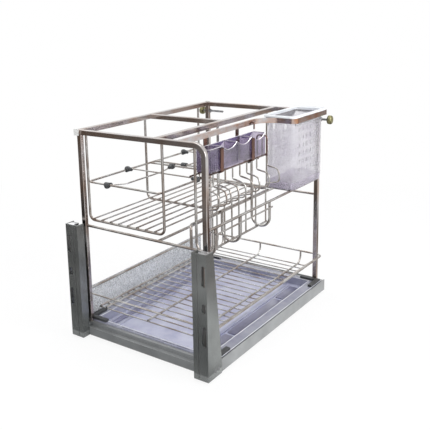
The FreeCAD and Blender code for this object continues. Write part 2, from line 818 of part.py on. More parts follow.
def bent_tube(label, along, rod_hole):
    """One tube that runs across the top and bends down into the post on the right."""
    start = point("left_rail_side + tube_wide", along, RAIL_MIDDLE)
    turn = point(RIGHT_POST_MIDDLE, along, RAIL_MIDDLE)
    foot = point(RIGHT_POST_MIDDLE, along, "deck_height")
    path = bent_path([start, turn, foot], size("tube_bend"))
    outer = rounded_box_section(start, ALONG_Y, ALONG_Z, size("tube_deep"), size("tube_wide"),
                                size("tube_edge"))
    inner = box_section(start, ALONG_Y, ALONG_Z, size("tube_deep - 2 * tube_wall"),
                        size("tube_wide - 2 * tube_wall"))
    tube = drawn_along(path, outer).cut(drawn_along(path, inner))
    if rod_hole:
        clear = size("tube_wide")
        hole_start = point(RIGHT_POST_MIDDLE + " - tube_wide", along, "rod_height")
        drill = Part.makeCylinder(size("rod_diameter / 2 + rod_clearance"), 2 * clear, hole_start, ALONG_X)
        tube = tube.cut(drill)
    shaped(label, [tube])


def tube_end_caps():
    """Plastic caps in both ends of the left top rail."""
    body = new_body("tube_end_caps")
    front = "front_post_place - left_rail_lead"
    rear = "depth - rear_post_inset"
    middle = "left_rail_side + tube_wide / 2"
    for name, end, outward in (("front_cap", front, 1), ("rear_cap", rear, -1)):
        face = new_sketch(body, "XZ_Plane", name + "_face", "-(%s)" % end)
        rectangle(face, middle + " - cap_size / 2", RAIL_MIDDLE + " - cap_size / 2",
                  middle + " + cap_size / 2", RAIL_MIDDLE + " + cap_size / 2")
        pad(body, face, "cap_thickness", outward < 0)
        plug = new_sketch(body, "XZ_Plane", name + "_plug", "-(%s)" % end)
        inside = "(tube_wide / 2 - tube_wall)"
        rectangle(plug, "%s - %s" % (middle, inside), "%s - %s" % (RAIL_MIDDLE, inside),
                  "%s + %s" % (middle, inside), "%s + %s" % (RAIL_MIDDLE, inside))
        pad(body, plug, "cap_plug", outward > 0)
    keep(body)


def post_plugs_and_screws():
    """Threaded plugs in the feet of the four posts, and the screws that come up through the decks."""
    plugs = new_body("post_foot_plugs")
    plug_plan = new_sketch(plugs, "XY_Plane", "plug_plan", "deck_height")
    screws = new_body("post_foot_screws")
    under = "deck_height - channel_sheet"
    heads = new_sketch(screws, "XY_Plane", "foot_screw_heads", under)
    shanks = new_sketch(screws, "XY_Plane", "foot_screw_shanks", under)
    for side in ("left", "right"):
        across = side_place(side, POST_MIDDLE)
        for along in (FRONT_POST, REAR_POST):
            half_wide = "(tube_wide / 2 - tube_wall)"
            half_deep = "(tube_deep / 2 - tube_wall)"
            rectangle(plug_plan, "%s - %s" % (across, half_wide), "%s - %s" % (along, half_deep),
                      "%s + %s" % (across, half_wide), "%s + %s" % (along, half_deep))
            disc(plug_plan, across, along, "post_screw")
            disc(heads, across, along, "post_screw_head")
            disc(shanks, across, along, "post_screw")
    pad(plugs, plug_plan, "plug_length")
    keep(plugs)
    pad(screws, heads, "post_screw_head_height", True)
    pad(screws, shanks, "post_screw_length")
    keep(screws)


def holder_strip():
    """Flat strip from the front rail that turns aside and closes the ring round the cutlery holder."""
    half = "strip_thick / 2"
    side = "strip_side + " + half
    right = "width - ring_margin - " + half
    rear = "depth - rear_post_inset + " + half
    front = "ring_front + " + half
    corners = [point(side, "front_post_place + tube_deep", RAIL_MIDDLE), point(side, front, RAIL_MIDDLE),
               point(right, front, RAIL_MIDDLE), point(right, rear, RAIL_MIDDLE),
               point(right + " - ring_return", rear, RAIL_MIDDLE)]
    path = bent_path(corners, [size("ring_turn"), size("ring_corner"), size("ring_corner")])
    section = box_section(corners[0], ALONG_X, ALONG_Z, size("strip_thick"), size("tube_wide"))
    shaped("holder_strip", [drawn_along(path, section)])


# Bottle basket

HOOPS = ("front_hoop", "middle_hoop", "rear_hoop")
GALLERY_LEFT = "hoop_left + hoop_wire / 2 + gallery_wire / 2"
GALLERY_RIGHT = "hoop_right - hoop_wire / 2 - gallery_wire / 2"
GALLERY_FRONT = "front_hoop - hoop_wire / 2 - gallery_wire / 2"
GALLERY_REAR = "rear_hoop + hoop_wire / 2 + gallery_wire / 2"


def bottle_basket_hoops():
    hoops = []
    for along in HOOPS:
        corners = [point("hoop_left", along, RAIL_UNDER), point("hoop_left", along, "hoop_floor"),
                   point("hoop_right", along, "hoop_floor"), point("hoop_right", along, RAIL_UNDER)]
        hoops.append(bent_wire(corners, size("hoop_wire"), size("hoop_corner")))
    shaped("bottle_basket_hoops", hoops)


def bottle_basket_floor_wires():
    body = new_body("bottle_basket_floor_wires")
    section = new_sketch(body, "XZ_Plane", "bottle_wire_section", "-(front_hoop - wire_overhang)")
    disc(section, "bottle_wire_first", "hoop_floor + hoop_wire / 2 + floor_wire / 2", "floor_wire")
    wire = pad(body, section, "rear_hoop - front_hoop + 2 * wire_overhang", True)
    pattern(body, wire, "X_Axis", "bottle_wire_pitch", "bottle_wire_count")
    keep(body)


def bottle_basket_gallery():
    """Closed ring inside the hoops, with two bars across that the dividers clip to."""
    low = "gallery_height"
    middle = point("(%s + %s) / 2" % (GALLERY_LEFT, GALLERY_RIGHT), GALLERY_FRONT, low)
    corners = [middle, point(GALLERY_RIGHT, GALLERY_FRONT, low), point(GALLERY_RIGHT, GALLERY_REAR, low),
               point(GALLERY_LEFT, GALLERY_REAR, low), point(GALLERY_LEFT, GALLERY_FRONT, low), middle]
    solids = [bent_wire(corners, size("gallery_wire"), size("gallery_corner"))]
    for along in ("front_gallery_bar", "rear_gallery_bar"):
        solids.append(straight_wire(point(GALLERY_LEFT + " + gallery_wire / 2", along, low),
                                    point(GALLERY_RIGHT + " - gallery_wire / 2", along, low),
                                    size("gallery_wire")))
    shaped("bottle_basket_gallery", solids)


def clip(bar_across, bar_along, runs_along_y, toward, socket_height, socket_across):
    """A moulded clip: a block that slides on a gallery wire and holds the end of a divider."""
    length = size("clip_length")
    width = size("clip_width")
    tall = size("clip_height")
    lead = size("clip_lead")
    low = size("gallery_height - clip_height / 2")
    start = -lead if toward > 0 else lead - length
    if runs_along_y:
        corner = FreeCAD.Vector(bar_across + start, bar_along - width / 2, low)
        block = Part.makeBox(length, width, tall, corner)
        bore_start = FreeCAD.Vector(bar_across, bar_along - width, size("gallery_height"))
        bore_direction = ALONG_Y
        inner_end = FreeCAD.Vector(bar_across + toward * (length - lead), socket_across, socket_height)
        inward = ALONG_X * -toward
    else:
        corner = FreeCAD.Vector(bar_across - width / 2, bar_along + start, low)
        block = Part.makeBox(width, length, tall, corner)
        bore_start = FreeCAD.Vector(bar_across - width, bar_along, size("gallery_height"))
        bore_direction = ALONG_X
        inner_end = FreeCAD.Vector(socket_across, bar_along + toward * (length - lead), socket_height)
        inward = ALONG_Y * -toward
    ends = [edge for edge in block.Edges if abs(edge.Length - width) < 1e-6]
    block = block.makeFillet(tall / 4, ends)
    bore = Part.makeCylinder(size("gallery_wire / 2 + clip_clearance"), 2 * width, bore_start,
                             bore_direction)
    socket = Part.makeCylinder(size("divider_wire / 2"), size("clip_socket"), inner_end, inward)
    return block.cut(bore).cut(socket)


def cross_divider(name, place):
    """A wire across the basket between clips on the side wires of the gallery."""
    along = size(place)
    height = size("gallery_height + divider_lift")
    left = size(GALLERY_LEFT)
    right = size(GALLERY_RIGHT)
    reach = size("clip_length - clip_lead - clip_socket")
    wire = straight_wire(FreeCAD.Vector(left + reach, along, height),
                         FreeCAD.Vector(right - reach, along, height), size("divider_wire"))
    shaped(name, [wire])
    shaped(name + "_clips", [clip(left, along, True, 1, height, along),
                             clip(right, along, True, -1, height, along)])


def depth_divider(name, front_bar, rear_bar, places):
    """A wire from front to back between clips on two bars, straight or set over between its ends."""
    front_place, rear_place = size(places[0]), size(places[-1])
    height = size("gallery_height - divider_lift")
    front = size(front_bar)
    rear = size(rear_bar)
    reach = size("clip_length - clip_lead - clip_socket")
    free = size("clip_length - clip_lead")
    start = FreeCAD.Vector(front_place, front + reach, height)
    end = FreeCAD.Vector(rear_place, rear - reach, height)
    if len(places) == 1:
        wire = straight_wire(start, end, size("divider_wire"))
    else:
        bend = size("divider_bend")
        middle_place = size(places[1])
        corners = [start, FreeCAD.Vector(front_place, front + free + bend / 2, height),
                   FreeCAD.Vector(middle_place, front + free + 3 * bend, height),
                   FreeCAD.Vector(middle_place, rear - free - 4 * bend, height),
                   FreeCAD.Vector(rear_place, rear - free - bend / 2, height), end]
        wire = bent_wire(corners, size("divider_wire"), bend)
    shaped(name, [wire])
    shaped(name + "_clips", [clip(front_place, front, False, 1, height, front_place),
                             clip(rear_place, rear, False, -1, height, rear_place)])


def dividers():
    cross_divider("front_cross_divider", "front_cross_divider_place")
    cross_divider("rear_cross_divider", "rear_cross_divider_place")
    depth_divider("front_depth_divider", GALLERY_FRONT, "front_gallery_bar",
                  ("front_depth_divider_front", "front_depth_divider_middle", "front_depth_divider_rear"))
    depth_divider("rear_depth_divider", "rear_gallery_bar", GALLERY_REAR,
                  ("rear_depth_divider_place",))


# Wires between the posts

def tie_wires():
    solids = []
    for along in (FRONT_POST, REAR_POST):
        solids.append(straight_wire(point("post_inset + tube_wide", along, "tie_height"),
                                    point("width - post_inset - tube_wide", along, "tie_height"),
                                    size("tie_wire")))
    shaped("lower_cross_wires", solids)
    start = point("centre_bar_place", FRONT_POST + " + tie_wire / 2", "tie_height")
    end = point("centre_bar_place", REAR_POST + " - tie_wire / 2", "tie_height")
    shaped("centre_depth_bar", [straight_wire(start, end, size("tie_wire"))])


# Knife box and cradle

def knife_box():
    """Open box of four cells; the long walls dip at all but the front one."""
    body = new_body("knife_box")
    floor = "cradle_floor + strap_thick + cradle_wire + lift_gap"
    plan = new_sketch(body, "XY_Plane", "knife_box_plan", floor)
    rectangle(plan, "knife_left", "knife_front", "knife_left + knife_width", "knife_rear")
    block = pad(body, plan, "knife_top - (%s)" % floor)
    round_corners(body, block, ALONG_Z, "2 * knife_wall")
    cells = new_sketch(body, "XY_Plane", "knife_box_cells", floor + " + knife_wall")
    walls = ("knife_front + knife_wall / 2", "first_partition", "second_partition", "third_partition",
             "knife_rear - knife_wall / 2")
    for before, after in zip(walls, walls[1:]):
        rectangle(cells, "knife_left + knife_wall", before + " + knife_wall / 2",
                  "knife_left + knife_width - knife_wall", after + " - knife_wall / 2")
    pocket(body, cells, "knife_top", True)
    dips = new_sketch(body, "YZ_Plane", "knife_box_dips", "knife_left - knife_wall")
    for before, after in zip(walls[1:], walls[2:]):
        disc(dips, "(%s + %s) / 2" % (before, after), "knife_top + scallop - dip", "2 * scallop")
    pocket(body, dips, "knife_width + 2 * knife_wall", True)
    keep(body)


def knife_box_cradle():
    """Two straps hung from the flat strip, the wires that carry the box, a guard and a hook behind it."""
    half = "strap_thick / 2"
    left = "strip_side + strip_thick - " + half
    right = "knife_left + knife_width + strap_side_gap + " + half
    low = "cradle_floor + " + half
    solids = []
    for along in ("front_strap", "rear_strap"):
        corners = [point(left, along, RAIL_UNDER), point(left, along, low), point(right, along, low),
                   point(right, along, "strap_rise")]
        section = box_section(corners[0], ALONG_X, ALONG_Y, size("strap_thick"), size("strap_width"))
        solids.append(drawn_along(bent_path(corners, size("strap_bend")), section))
    height = "cradle_floor + strap_thick + cradle_wire / 2"
    for across in ("cradle_left_wire", "cradle_right_wire"):
        solids.append(straight_wire(point(across, "cradle_front", height),
                                    point(across, "cradle_rear - cradle_wire / 2", height),
                                    size("cradle_wire")))
    below = height + " - cradle_wire"
    for along in ("rear_rack_frame", "cradle_rear"):
        solids.append(straight_wire(point("cradle_left_wire - cradle_wire / 2", along, below),
                                    point("cradle_right_wire + cradle_wire / 2", along, below),
                                    size("cradle_wire")))
    foot = below + " + cradle_wire / 2"
    top = "top_height - guard_drop"
    guard = [point("cradle_left_wire", "cradle_rear", foot), point("cradle_left_wire", "cradle_rear", top),
             point("cradle_right_wire", "cradle_rear", top), point("cradle_right_wire", "cradle_rear", foot)]
    solids.append(bent_wire(guard, size("cradle_wire"), size("guard_bend")))
    middle = "(cradle_left_wire + cradle_right_wire) / 2"
    solids.append(straight_wire(point(middle, "cradle_rear", foot),
                                point(middle, "cradle_rear", top + " - cradle_wire / 2"),
                                size("cradle_wire")))
    face = "strip_side + strip_thick"
    hook = [point(face, "hook_place", RAIL_MIDDLE), point(face + " + hook_reach", "hook_place", RAIL_MIDDLE),
            point(face + " + hook_reach", "hook_place", RAIL_MIDDLE + " - hook_drop")]
    solids.append(bent_wire(hook, size("cradle_wire"), size("cradle_wire")))
    shaped("knife_box_cradle", solids)


# Board rack

RACK_RIGHT = "width - post_inset - rack_wire / 2"


def board_rack_frames():
    """Three frames with a round bottom; the first rises to the front rail, the last to the cradle."""
    solids = []
    radius = size("(%s - rack_left) / 2 - bend_play" % RACK_RIGHT)
    right_top = "rack_rail_height - rack_wire / 2"
    for along in ("front_rack_frame", "middle_rack_frame", "rear_rack_frame"):
        if along == "front_rack_frame":
            top = [point("rack_left", "front_post_place + tube_deep", "rack_top"),
                   point("rack_left", along, "rack_top")]
            bends = [size("rack_top_bend"), radius, radius]
        elif along == "rear_rack_frame":
            top = [point("rack_left", along, "cradle_floor + strap_thick - cradle_wire")]
            bends = [radius, radius]
        else:
            top = [point("rack_left", along, "rack_rail_height + rack_stub")]
            bends = [radius, radius]
        corners = top + [point("rack_left", along, "rack_floor"), point(RACK_RIGHT, along, "rack_floor"),
                         point(RACK_RIGHT, along, right_top)]
        solids.append(bent_wire(corners, size("rack_wire"), bends))
    shaped("board_rack_frames", solids)


def bottom_wire_height():
    """Height at which the bottom wire lies under the round of the frames."""
    radius = size("(%s - rack_left) / 2" % RACK_RIGHT)
    off_centre = size("bottom_wire_place - (%s + rack_left) / 2" % RACK_RIGHT)
    touching = radius + size("rack_wire / 2 + bottom_wire / 2")
    return size("rack_floor") + radius - math.sqrt(touching ** 2 - off_centre ** 2)


def board_rack_rails():
    wire = size("rack_wire")
    left = "rack_left - rack_wire"
    left_rail = [point(left, "rack_rail_rear", "rack_rail_height"),
                 point(left, "rack_rail_turn", "rack_rail_height"),
                 point("upright_place", FRONT_POST, "rack_rail_height"),
                 point("upright_place", FRONT_POST, "tie_height + tie_wire / 2")]
    solids = [bent_wire(left_rail, wire, [size("rack_rail_bend"), size("rack_rail_end_bend")])]
    solids.append(straight_wire(point(RACK_RIGHT, "front_post_place + tube_deep", "rack_rail_height"),
                                point(RACK_RIGHT, "depth - rear_post_inset - tube_deep",
                                      "rack_rail_height"), wire))
    outside = RACK_RIGHT + " + rack_wire / 2 + board_wire / 2"
    solids.append(straight_wire(point(outside, "front_rack_frame - wire_overhang", "side_wire_height"),
                                point(outside, "rear_rack_frame + wire_overhang", "side_wire_height"),
                                size("board_wire")))
    low = bottom_wire_height()
    solids.append(straight_wire(point("bottom_wire_place", "front_rack_frame - 2 * wire_overhang", low),
                                point("bottom_wire_place", "cradle_rear + wire_overhang", low),
                                size("bottom_wire")))
    shaped("board_rack_rails", solids)


def board_divider_wires():
    """Wires from the cradle that hook out over the boards and run down to the bottom wire."""
    solids = []
    foot = bottom_wire_height() + size("bottom_wire / 2")
    bends = [size("board_wire_%s_bend" % name) for name in ("knee", "shoulder", "nose", "heel")]
    places = ["board_wire_first", "board_wire_second"]
    places += ["board_wire_third + %d * board_wire_pitch" % index for index in range(5)]
    places += ["board_wire_last_pair", "cradle_rear"]
    for along in places:
        top = "cradle_floor + strap_thick"
        if along == "cradle_rear":
            top = top + " - cradle_wire"
        corners = [point("cradle_right_wire", along, top),
                   point("cradle_right_wire", along, "cradle_floor - board_wire_knee_drop"),
                   point("cradle_right_wire + board_wire_shoulder", along,
                         "cradle_floor - board_wire_shoulder_drop"),
                   point("cradle_right_wire + board_wire_nose", along,
                         "cradle_floor - board_wire_nose_drop"),
                   point("bottom_wire_place", along, "cradle_floor - board_wire_heel_drop"),
                   point("bottom_wire_place", along, foot)]
        solids.append(bent_wire(corners, size("board_wire"), bends))
    shaped("board_divider_wires", solids)


# Lower basket

RIM_REAR = "depth - rear_post_inset + rim_wire / 2 + weld_gap"


def lower_basket_rim():
    """Thick rim on three sides, and the thin front wire welded under its ends."""
    right = "width - rim_inset"
    front = "front_post_place + tube_deep"
    corners = [point("rim_inset", front, "rim_height"), point("rim_inset", RIM_REAR, "rim_height"),
               point(right, RIM_REAR, "rim_height"), point(right, front, "rim_height")]
    solids = [bent_wire(corners, size("rim_wire"), size("rim_corner"))]
    along = front + " + front_rim_wire / 2"
    under = "rim_height - rim_wire / 2 - front_rim_wire / 2"
    solids.append(straight_wire(point("rim_inset - rim_wire / 2", along, under),
                                point(right + " + rim_wire / 2", along, under), size("front_rim_wire")))
    shaped("lower_basket_rim", solids)


def lower_basket_depth_wires():
    """Three wires along the floor and one at its left edge, all bent up to the rear rim."""
    solids = []
    rise = RIM_REAR + " - rim_wire / 2 - depth_wire / 2"
    places = ["depth_wire_first + %d * depth_wire_pitch" % index for index in range(3)]
    for across in ["edge_wire_place"] + places:
        corners = [point(across, "grid_first - grid_wire", "depth_wire_height"),
                   point(across, rise, "depth_wire_height"), point(across, rise, "rim_height")]
        solids.append(bent_wire(corners, size("depth_wire"), size("depth_wire_bend")))
    shaped("lower_basket_depth_wires", solids)


def lower_basket_grid_wires():
    """Cross wires under the depth wires, and the sloped ends that carry them up to the right rim."""
    floor = []
    ends = []
    count = int(size("grid_count"))
    low = "depth_wire_height - depth_wire / 2 - grid_wire / 2"
    foot = "rim_inset + grid_slope"
    level_end = side_place("right", foot + " + grid_bend")
    slope = math.hypot(size("grid_slope"), size("rim_height - (%s)" % low))
    share = size("rim_wire / 2 + weld_gap") / slope
    for index in range(count):
        along = size("grid_first") + index * size("grid_last - grid_first") / (count - 1)
        floor.append(straight_wire(point("edge_wire_place - wire_overhang", along, low),
                                   point(level_end, along, low), size("grid_wire")))
        knee = point(side_place("right", foot), along, low)
        rim = point(side_place("right", "rim_inset"), along, "rim_height")
        corners = [point(level_end, along, low), knee, rim + (knee - rim) * share]
        ends.append(bent_wire(corners, size("grid_wire"), size("grid_bend")))
    shaped("lower_basket_floor_wires", floor)
    shaped("lower_basket_right_wires", ends)


def left_side_panel():
    """Clear panel that stands in the groove behind the side wall, outside the basket's wires."""
    body = new_body("left_side_panel")
    plan = new_sketch(body, "XY_Plane", "side_panel_plan", "deck_height")
    left = BASE_EDGE + " + channel_sheet + panel_gap"
    rectangle(plan, left, "panel_end", left + " + panel_thick", "depth - panel_end")
    pad(body, plan, "panel_top - deck_height")
    keep(body)


# Cutlery holder

def cutlery_holder():
    """Deep open box with a rim that hangs on the ring."""
    body = new_body("cutlery_holder")
    top = "top_height + lift_gap"
    left = "holder_left"
    right = "width - ring_margin - strip_thick - 2 * holder_gap"
    front = "ring_front + strip_thick + holder_gap"
    plan = new_sketch(body, "XY_Plane", "holder_plan", "holder_floor")
    rectangle(plan, left, front, right, "holder_rear")
    block = pad(body, plan, top + " - holder_floor")
    rounded = round_corners(body, block, ALONG_Z, "holder_corner")
    rim = new_sketch(body, "XY_Plane", "holder_rim", top)
    rectangle(rim, "rim_left", "rim_front", "width - ring_margin - holder_gap", "depth - holder_gap")
    pad(body, rim, "rim_thick")
    hollow = new_sketch(body, "XY_Plane", "holder_hollow", "holder_floor + holder_wall")
    corner = "holder_corner"
    wall = "holder_wall"
    low_x, high_x = left + " + " + wall, right + " - " + wall
    low_y, high_y = front + " + " + wall, "holder_rear - " + wall
    outline(hollow, [(low_x + " + " + corner, low_y), (high_x + " - " + corner, low_y),
                     (high_x, low_y + " + " + corner), (high_x, high_y + " - " + corner),
                     (high_x + " - " + corner, high_y), (low_x + " + " + corner, high_y),
                     (low_x, high_y + " - " + corner), (low_x, low_y + " + " + corner)])
    pocket(body, hollow, "top_height", True)
    windows = new_sketch(body, "XZ_Plane", "holder_windows", "-(%s) + holder_wall" % front)
    for share in ("window_share", "(1 - window_share)"):
        across = "%s + %s * (%s - (%s))" % (left, share, right, left)
        upright_slot(windows, across, top + " - window_drop", "window_length", "window_width")
    pocket(body, windows, "3 * holder_wall")
    keep(body)


# Side buffers

def buffer(side):
    """Threaded rod through the rear post, with a knob that bears on the cabinet side."""
    height = size("rod_height")
    along = size(REAR_POST)
    knob_length = size("knob_length")
    inward = 1 if side == "left" else -1
    end = size(side + "_knob_end")
    centre = FreeCAD.Vector(end, along, height)
    direction = ALONG_X * inward
    rod_start = centre + direction * (knob_length - size("rod_in_knob"))
    rod = Part.makeCylinder(size("rod_diameter / 2"), size("rod_length"), rod_start, direction)
    shaped(side + "_buffer_rod", [rod])
    radius = size("knob_diameter / 2")
    knob = Part.makeCylinder(radius, knob_length, centre, direction)
    rims = [edge for edge in knob.Edges if isinstance(edge.Curve, Part.Circle)]
    knob = knob.makeFillet(size("knob_round"), rims)
    inner_face = centre + direction * knob_length
    bore = Part.makeCylinder(size("rod_diameter / 2 + rod_clearance"),
                             size("rod_in_knob + rod_clearance"), inner_face, direction * -1)
    shaped(side + "_buffer_knob", [knob.cut(bore)])


def buffer_nuts():
    """Hexagon nuts fixed to the rear posts, inside on the left and outside on the right."""
    solids = []
    height = size("rod_height")
    along = size(REAR_POST)
    corner = size("nut_across") / math.sqrt(3)
    for start in (size("post_inset + tube_wide"), size("width - post_inset")):
        points = []
        for index in range(7):
            angle = math.radians(60 * index)
            points.append(FreeCAD.Vector(start, along + corner * math.sin(angle),
                                         height + corner * math.cos(angle)))
        blank = Part.Face(Part.makePolygon(points)).extrude(ALONG_X * size("nut_thick"))
        bore = Part.makeCylinder(size("rod_diameter / 2 + rod_clearance"), 2 * size("nut_thick"),
                                 FreeCAD.Vector(start - size("nut_thick") / 2, along, height), ALONG_X)
        solids.append(blank.cut(bore))
    shaped("buffer_nuts", solids)


# Ball runners

FLANGE_FACE = "bracket_sheet + channel_width - channel_sheet"
SLIDE_OUTER = FLANGE_FACE + " - slide_thick"
SLIDE_LOW = "-base_gap"
SLIDE_MIDDLE = "slide_height / 2 - base_gap"
MIDDLE_HALF = "(slide_height / 2 - slide_sheet - ball)"
DRAWER_HALF = "(slide_height / 2 - 2 * slide_sheet - 2 * ball)"


def member(label, side, section, front="slide_front", rear="slide_rear"):
    """A straight rolled section along one side; section holds distances from the left and heights."""
    body = new_body(label)
    sketch = new_sketch(body, "XZ_Plane", label + "_section", "-(%s)" % front)
    outline(sketch, [(side_place(side, across), up) for across, up in section])
    pad(body, sketch, "%s - %s" % (rear, front), True)
    return body


def channel_member_section(web, lips, half):
    """A C of sheet: its web at one place, its lips reaching to another, about the runner's mid height."""
    inside = "%s + slide_sheet" % web if size(lips) > size(web) else "%s - slide_sheet" % web
    high = "%s + %s" % (SLIDE_MIDDLE, half)
    low = "%s - %s" % (SLIDE_MIDDLE, half)
    return ((web, low), (lips, low), (lips, low + " + slide_sheet"), (inside, low + " + slide_sheet"),
            (inside, high + " - slide_sheet"), (lips, high + " - slide_sheet"), (lips, high), (web, high))


def runners(side):
    foot = SLIDE_OUTER + " - foot_width"
    outer_lips = FLANGE_FACE + " - slide_sheet - lip_gap"
    section = channel_member_section(SLIDE_OUTER, outer_lips, "(slide_height / 2)")
    section = section + ((SLIDE_OUTER, SLIDE_LOW + " + slide_sheet"), (foot, SLIDE_LOW + " + slide_sheet"),
                         (foot, SLIDE_LOW))
    cabinet = member(side + "_cabinet_runner", side, section)
    holes = new_sketch(cabinet, "XY_Plane", side + "_floor_holes", SLIDE_LOW)
    for along in ("floor_hole_front", "(floor_hole_front + floor_hole_rear) / 2", "floor_hole_rear"):
        disc(holes, side_place(side, foot + " + foot_width / 2"), along, "floor_hole")
    pocket(cabinet, holes, "slide_sheet", True)
    keep(cabinet)
    middle_web = SLIDE_OUTER + " + 2 * slide_sheet + cage_web_gap"
    middle_lips = FLANGE_FACE + " - slide_sheet - lip_gap / 2"
    keep(member(side + "_middle_runner", side, channel_member_section(middle_web, middle_lips, MIDDLE_HALF)))
    drawer_lips = middle_web + " + 2 * slide_sheet + cage_web_gap"
    keep(member(side + "_drawer_runner", side,
                channel_member_section(FLANGE_FACE, drawer_lips, DRAWER_HALF)))


def cage_and_balls(name, web, lips, half, ball_across):
    """The thin cages that carry one set of balls on both sides, and the balls in their holes."""
    cages = new_body(name + "_ball_cages")
    balls = []
    radius = size("ball / 2 - ball_play")
    cage_half = "(%s + ball / 2 + cage_sheet / 2)" % half
    high = "%s + %s" % (SLIDE_MIDDLE, cage_half)
    low = "%s - %s" % (SLIDE_MIDDLE, cage_half)
    section = ((web, low), (lips, low), (lips, low + " + cage_sheet"),
               (web + " + cage_sheet", low + " + cage_sheet"),
               (web + " + cage_sheet", high + " - cage_sheet"),
               (lips, high + " - cage_sheet"), (lips, high), (web, high))
    for side in ("left", "right"):
        sketch = new_sketch(cages, "XZ_Plane", "%s_%s_cage" % (name, side), "-cage_front")
        outline(sketch, [(side_place(side, across), up) for across, up in section])
        pad(cages, sketch, "cage_length", True)
    holes = new_sketch(cages, "XY_Plane", name + "_cage_holes", SLIDE_LOW)
    count = int(size("ball_count"))
    first = "cage_front + (cage_length - (ball_count - 1) * ball_pitch) / 2"
    for side in ("left", "right"):
        for index in range(count):
            along = "%s + %d * ball_pitch" % (first, index)
            across = side_place(side, ball_across)
            disc(holes, across, along, "ball + ball_play")
            for up in ("%s + %s + ball / 2" % (SLIDE_MIDDLE, half),
                       "%s - %s - ball / 2" % (SLIDE_MIDDLE, half)):
                balls.append(Part.makeSphere(radius, point(across, along, up)))
    pocket(cages, holes, "slide_height", True)
    keep(cages)
    shaped(name + "_bearing_balls", balls)


def ball_sets():
    outer_web = SLIDE_OUTER + " + slide_sheet + cage_web_gap"
    middle_inner = SLIDE_OUTER + " + 3 * slide_sheet + cage_web_gap"
    inner_web = middle_inner + " + cage_web_gap"
    cage_and_balls("outer", outer_web, FLANGE_FACE + " - slide_sheet - 2 * lip_gap", MIDDLE_HALF,
                   outer_web + " + outer_ball_place")
    cage_and_balls("inner", inner_web, FLANGE_FACE + " - slide_sheet - 2 * lip_gap", DRAWER_HALF,
                   inner_web + " + inner_ball_place")


for place in ("left", "right"):
    runners(place)
ball_sets()
for place in ("left", "right"):
    side_channel(place)
front_channel()
rear_channel()
drip_tray()
tray_corner_clips()
for place in ("left", "right"):
    door_bracket(place)
bracket_screws()
left_posts()
top_rails()
bent_tube("front_bent_tube", FRONT_POST, False)
bent_tube("rear_bent_tube", REAR_POST, True)
tube_end_caps()
post_plugs_and_screws()
holder_strip()
bottle_basket_hoops()
bottle_basket_floor_wires()
bottle_basket_gallery()
dividers()
tie_wires()
knife_box()
knife_box_cradle()
board_rack_frames()
board_rack_rails()
board_divider_wires()
lower_basket_rim()
lower_basket_depth_wires()
lower_basket_grid_wires()
left_side_panel()
cutlery_holder()
for place in ("left", "right"):
    buffer(place)
buffer_nuts()
doc.recompute()

# Checks before anything is written

for thing in doc.Objects:
    if "Invalid" in thing.State or "Error" in thing.State:
        raise RuntimeError("%s failed: %s" % (thing.Label, thing.State))
for part in made:
    if part.Shape.isNull() or not part.Shape.isValid():
        raise RuntimeError("%s has no valid shape" % part.Label)

os.makedirs("parts", exist_ok=True)
for part in made:
    part.Shape.exportStep("parts/%s.step" % part.Label)
    box = part.Shape.BoundBox
    print("%-32s %3d solids %10.1f mm3  x %.1f %.1f  y %.1f %.1f  z %.1f %.1f" % (
        part.Label, len(part.Shape.Solids), part.Shape.Volume, box.XMin, box.XMax, box.YMin, box.YMax,
        box.ZMin, box.ZMax))
print("%d sub-parts" % len(made))
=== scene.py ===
"""Dressing of a pull-out spice rack over its fixed frame.

Places in this file are millimetres from the left, front, bottom corner of the rack's base, as a maker
would measure them, and `at` turns them into the frame's metres.
"""
import logging
import math
from dataclasses import dataclass, field
from enum import Enum
from typing import Optional, Sequence

import bmesh
import bpy
from mathutils import Matrix, Vector, noise


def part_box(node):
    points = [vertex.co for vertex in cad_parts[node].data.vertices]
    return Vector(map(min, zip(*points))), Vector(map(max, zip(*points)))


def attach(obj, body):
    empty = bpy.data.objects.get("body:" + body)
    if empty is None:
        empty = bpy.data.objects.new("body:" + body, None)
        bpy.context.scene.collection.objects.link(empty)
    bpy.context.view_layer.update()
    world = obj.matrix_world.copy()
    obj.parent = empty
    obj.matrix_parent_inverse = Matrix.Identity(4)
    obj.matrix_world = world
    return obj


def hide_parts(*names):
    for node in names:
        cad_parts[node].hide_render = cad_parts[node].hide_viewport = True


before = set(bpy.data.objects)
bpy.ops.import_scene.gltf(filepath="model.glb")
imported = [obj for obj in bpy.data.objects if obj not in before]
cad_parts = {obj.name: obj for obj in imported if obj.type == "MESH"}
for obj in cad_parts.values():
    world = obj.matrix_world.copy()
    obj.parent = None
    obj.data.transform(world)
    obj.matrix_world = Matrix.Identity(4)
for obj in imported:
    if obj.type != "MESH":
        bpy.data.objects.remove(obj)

log = logging.getLogger("spice_rack")

MM = 0.001
HALF_WIDTH = 162.0
HALF_DEPTH = 225.0
FLOOR_GAP = 2.0
SINK = 0.3  # depth to which relief is set into the wall that carries it

Mesh = bmesh.types.BMesh
Object = bpy.types.Object
Material = bpy.types.Material
Socket = bpy.types.NodeSocket
Point = tuple[float, float, float]
Box = tuple[float, float, float, float]
Stops = Sequence[tuple[float, str]]


class Axis(Enum):
    """Direction of the frame that a piece runs along."""

    ACROSS = Vector((1, 0, 0))
    ALONG = Vector((0, 1, 0))


def at(across: float, along: float, up: float) -> Vector:
    """Place of a point in the frame.

    Args:
        across: Millimetres from the left side.
        along: Millimetres from the front.
        up: Millimetres from the bottom of the base.

    Returns:
        The point in metres.
    """
    return Vector((across - HALF_WIDTH, along - HALF_DEPTH, up + FLOOR_GAP)) * MM


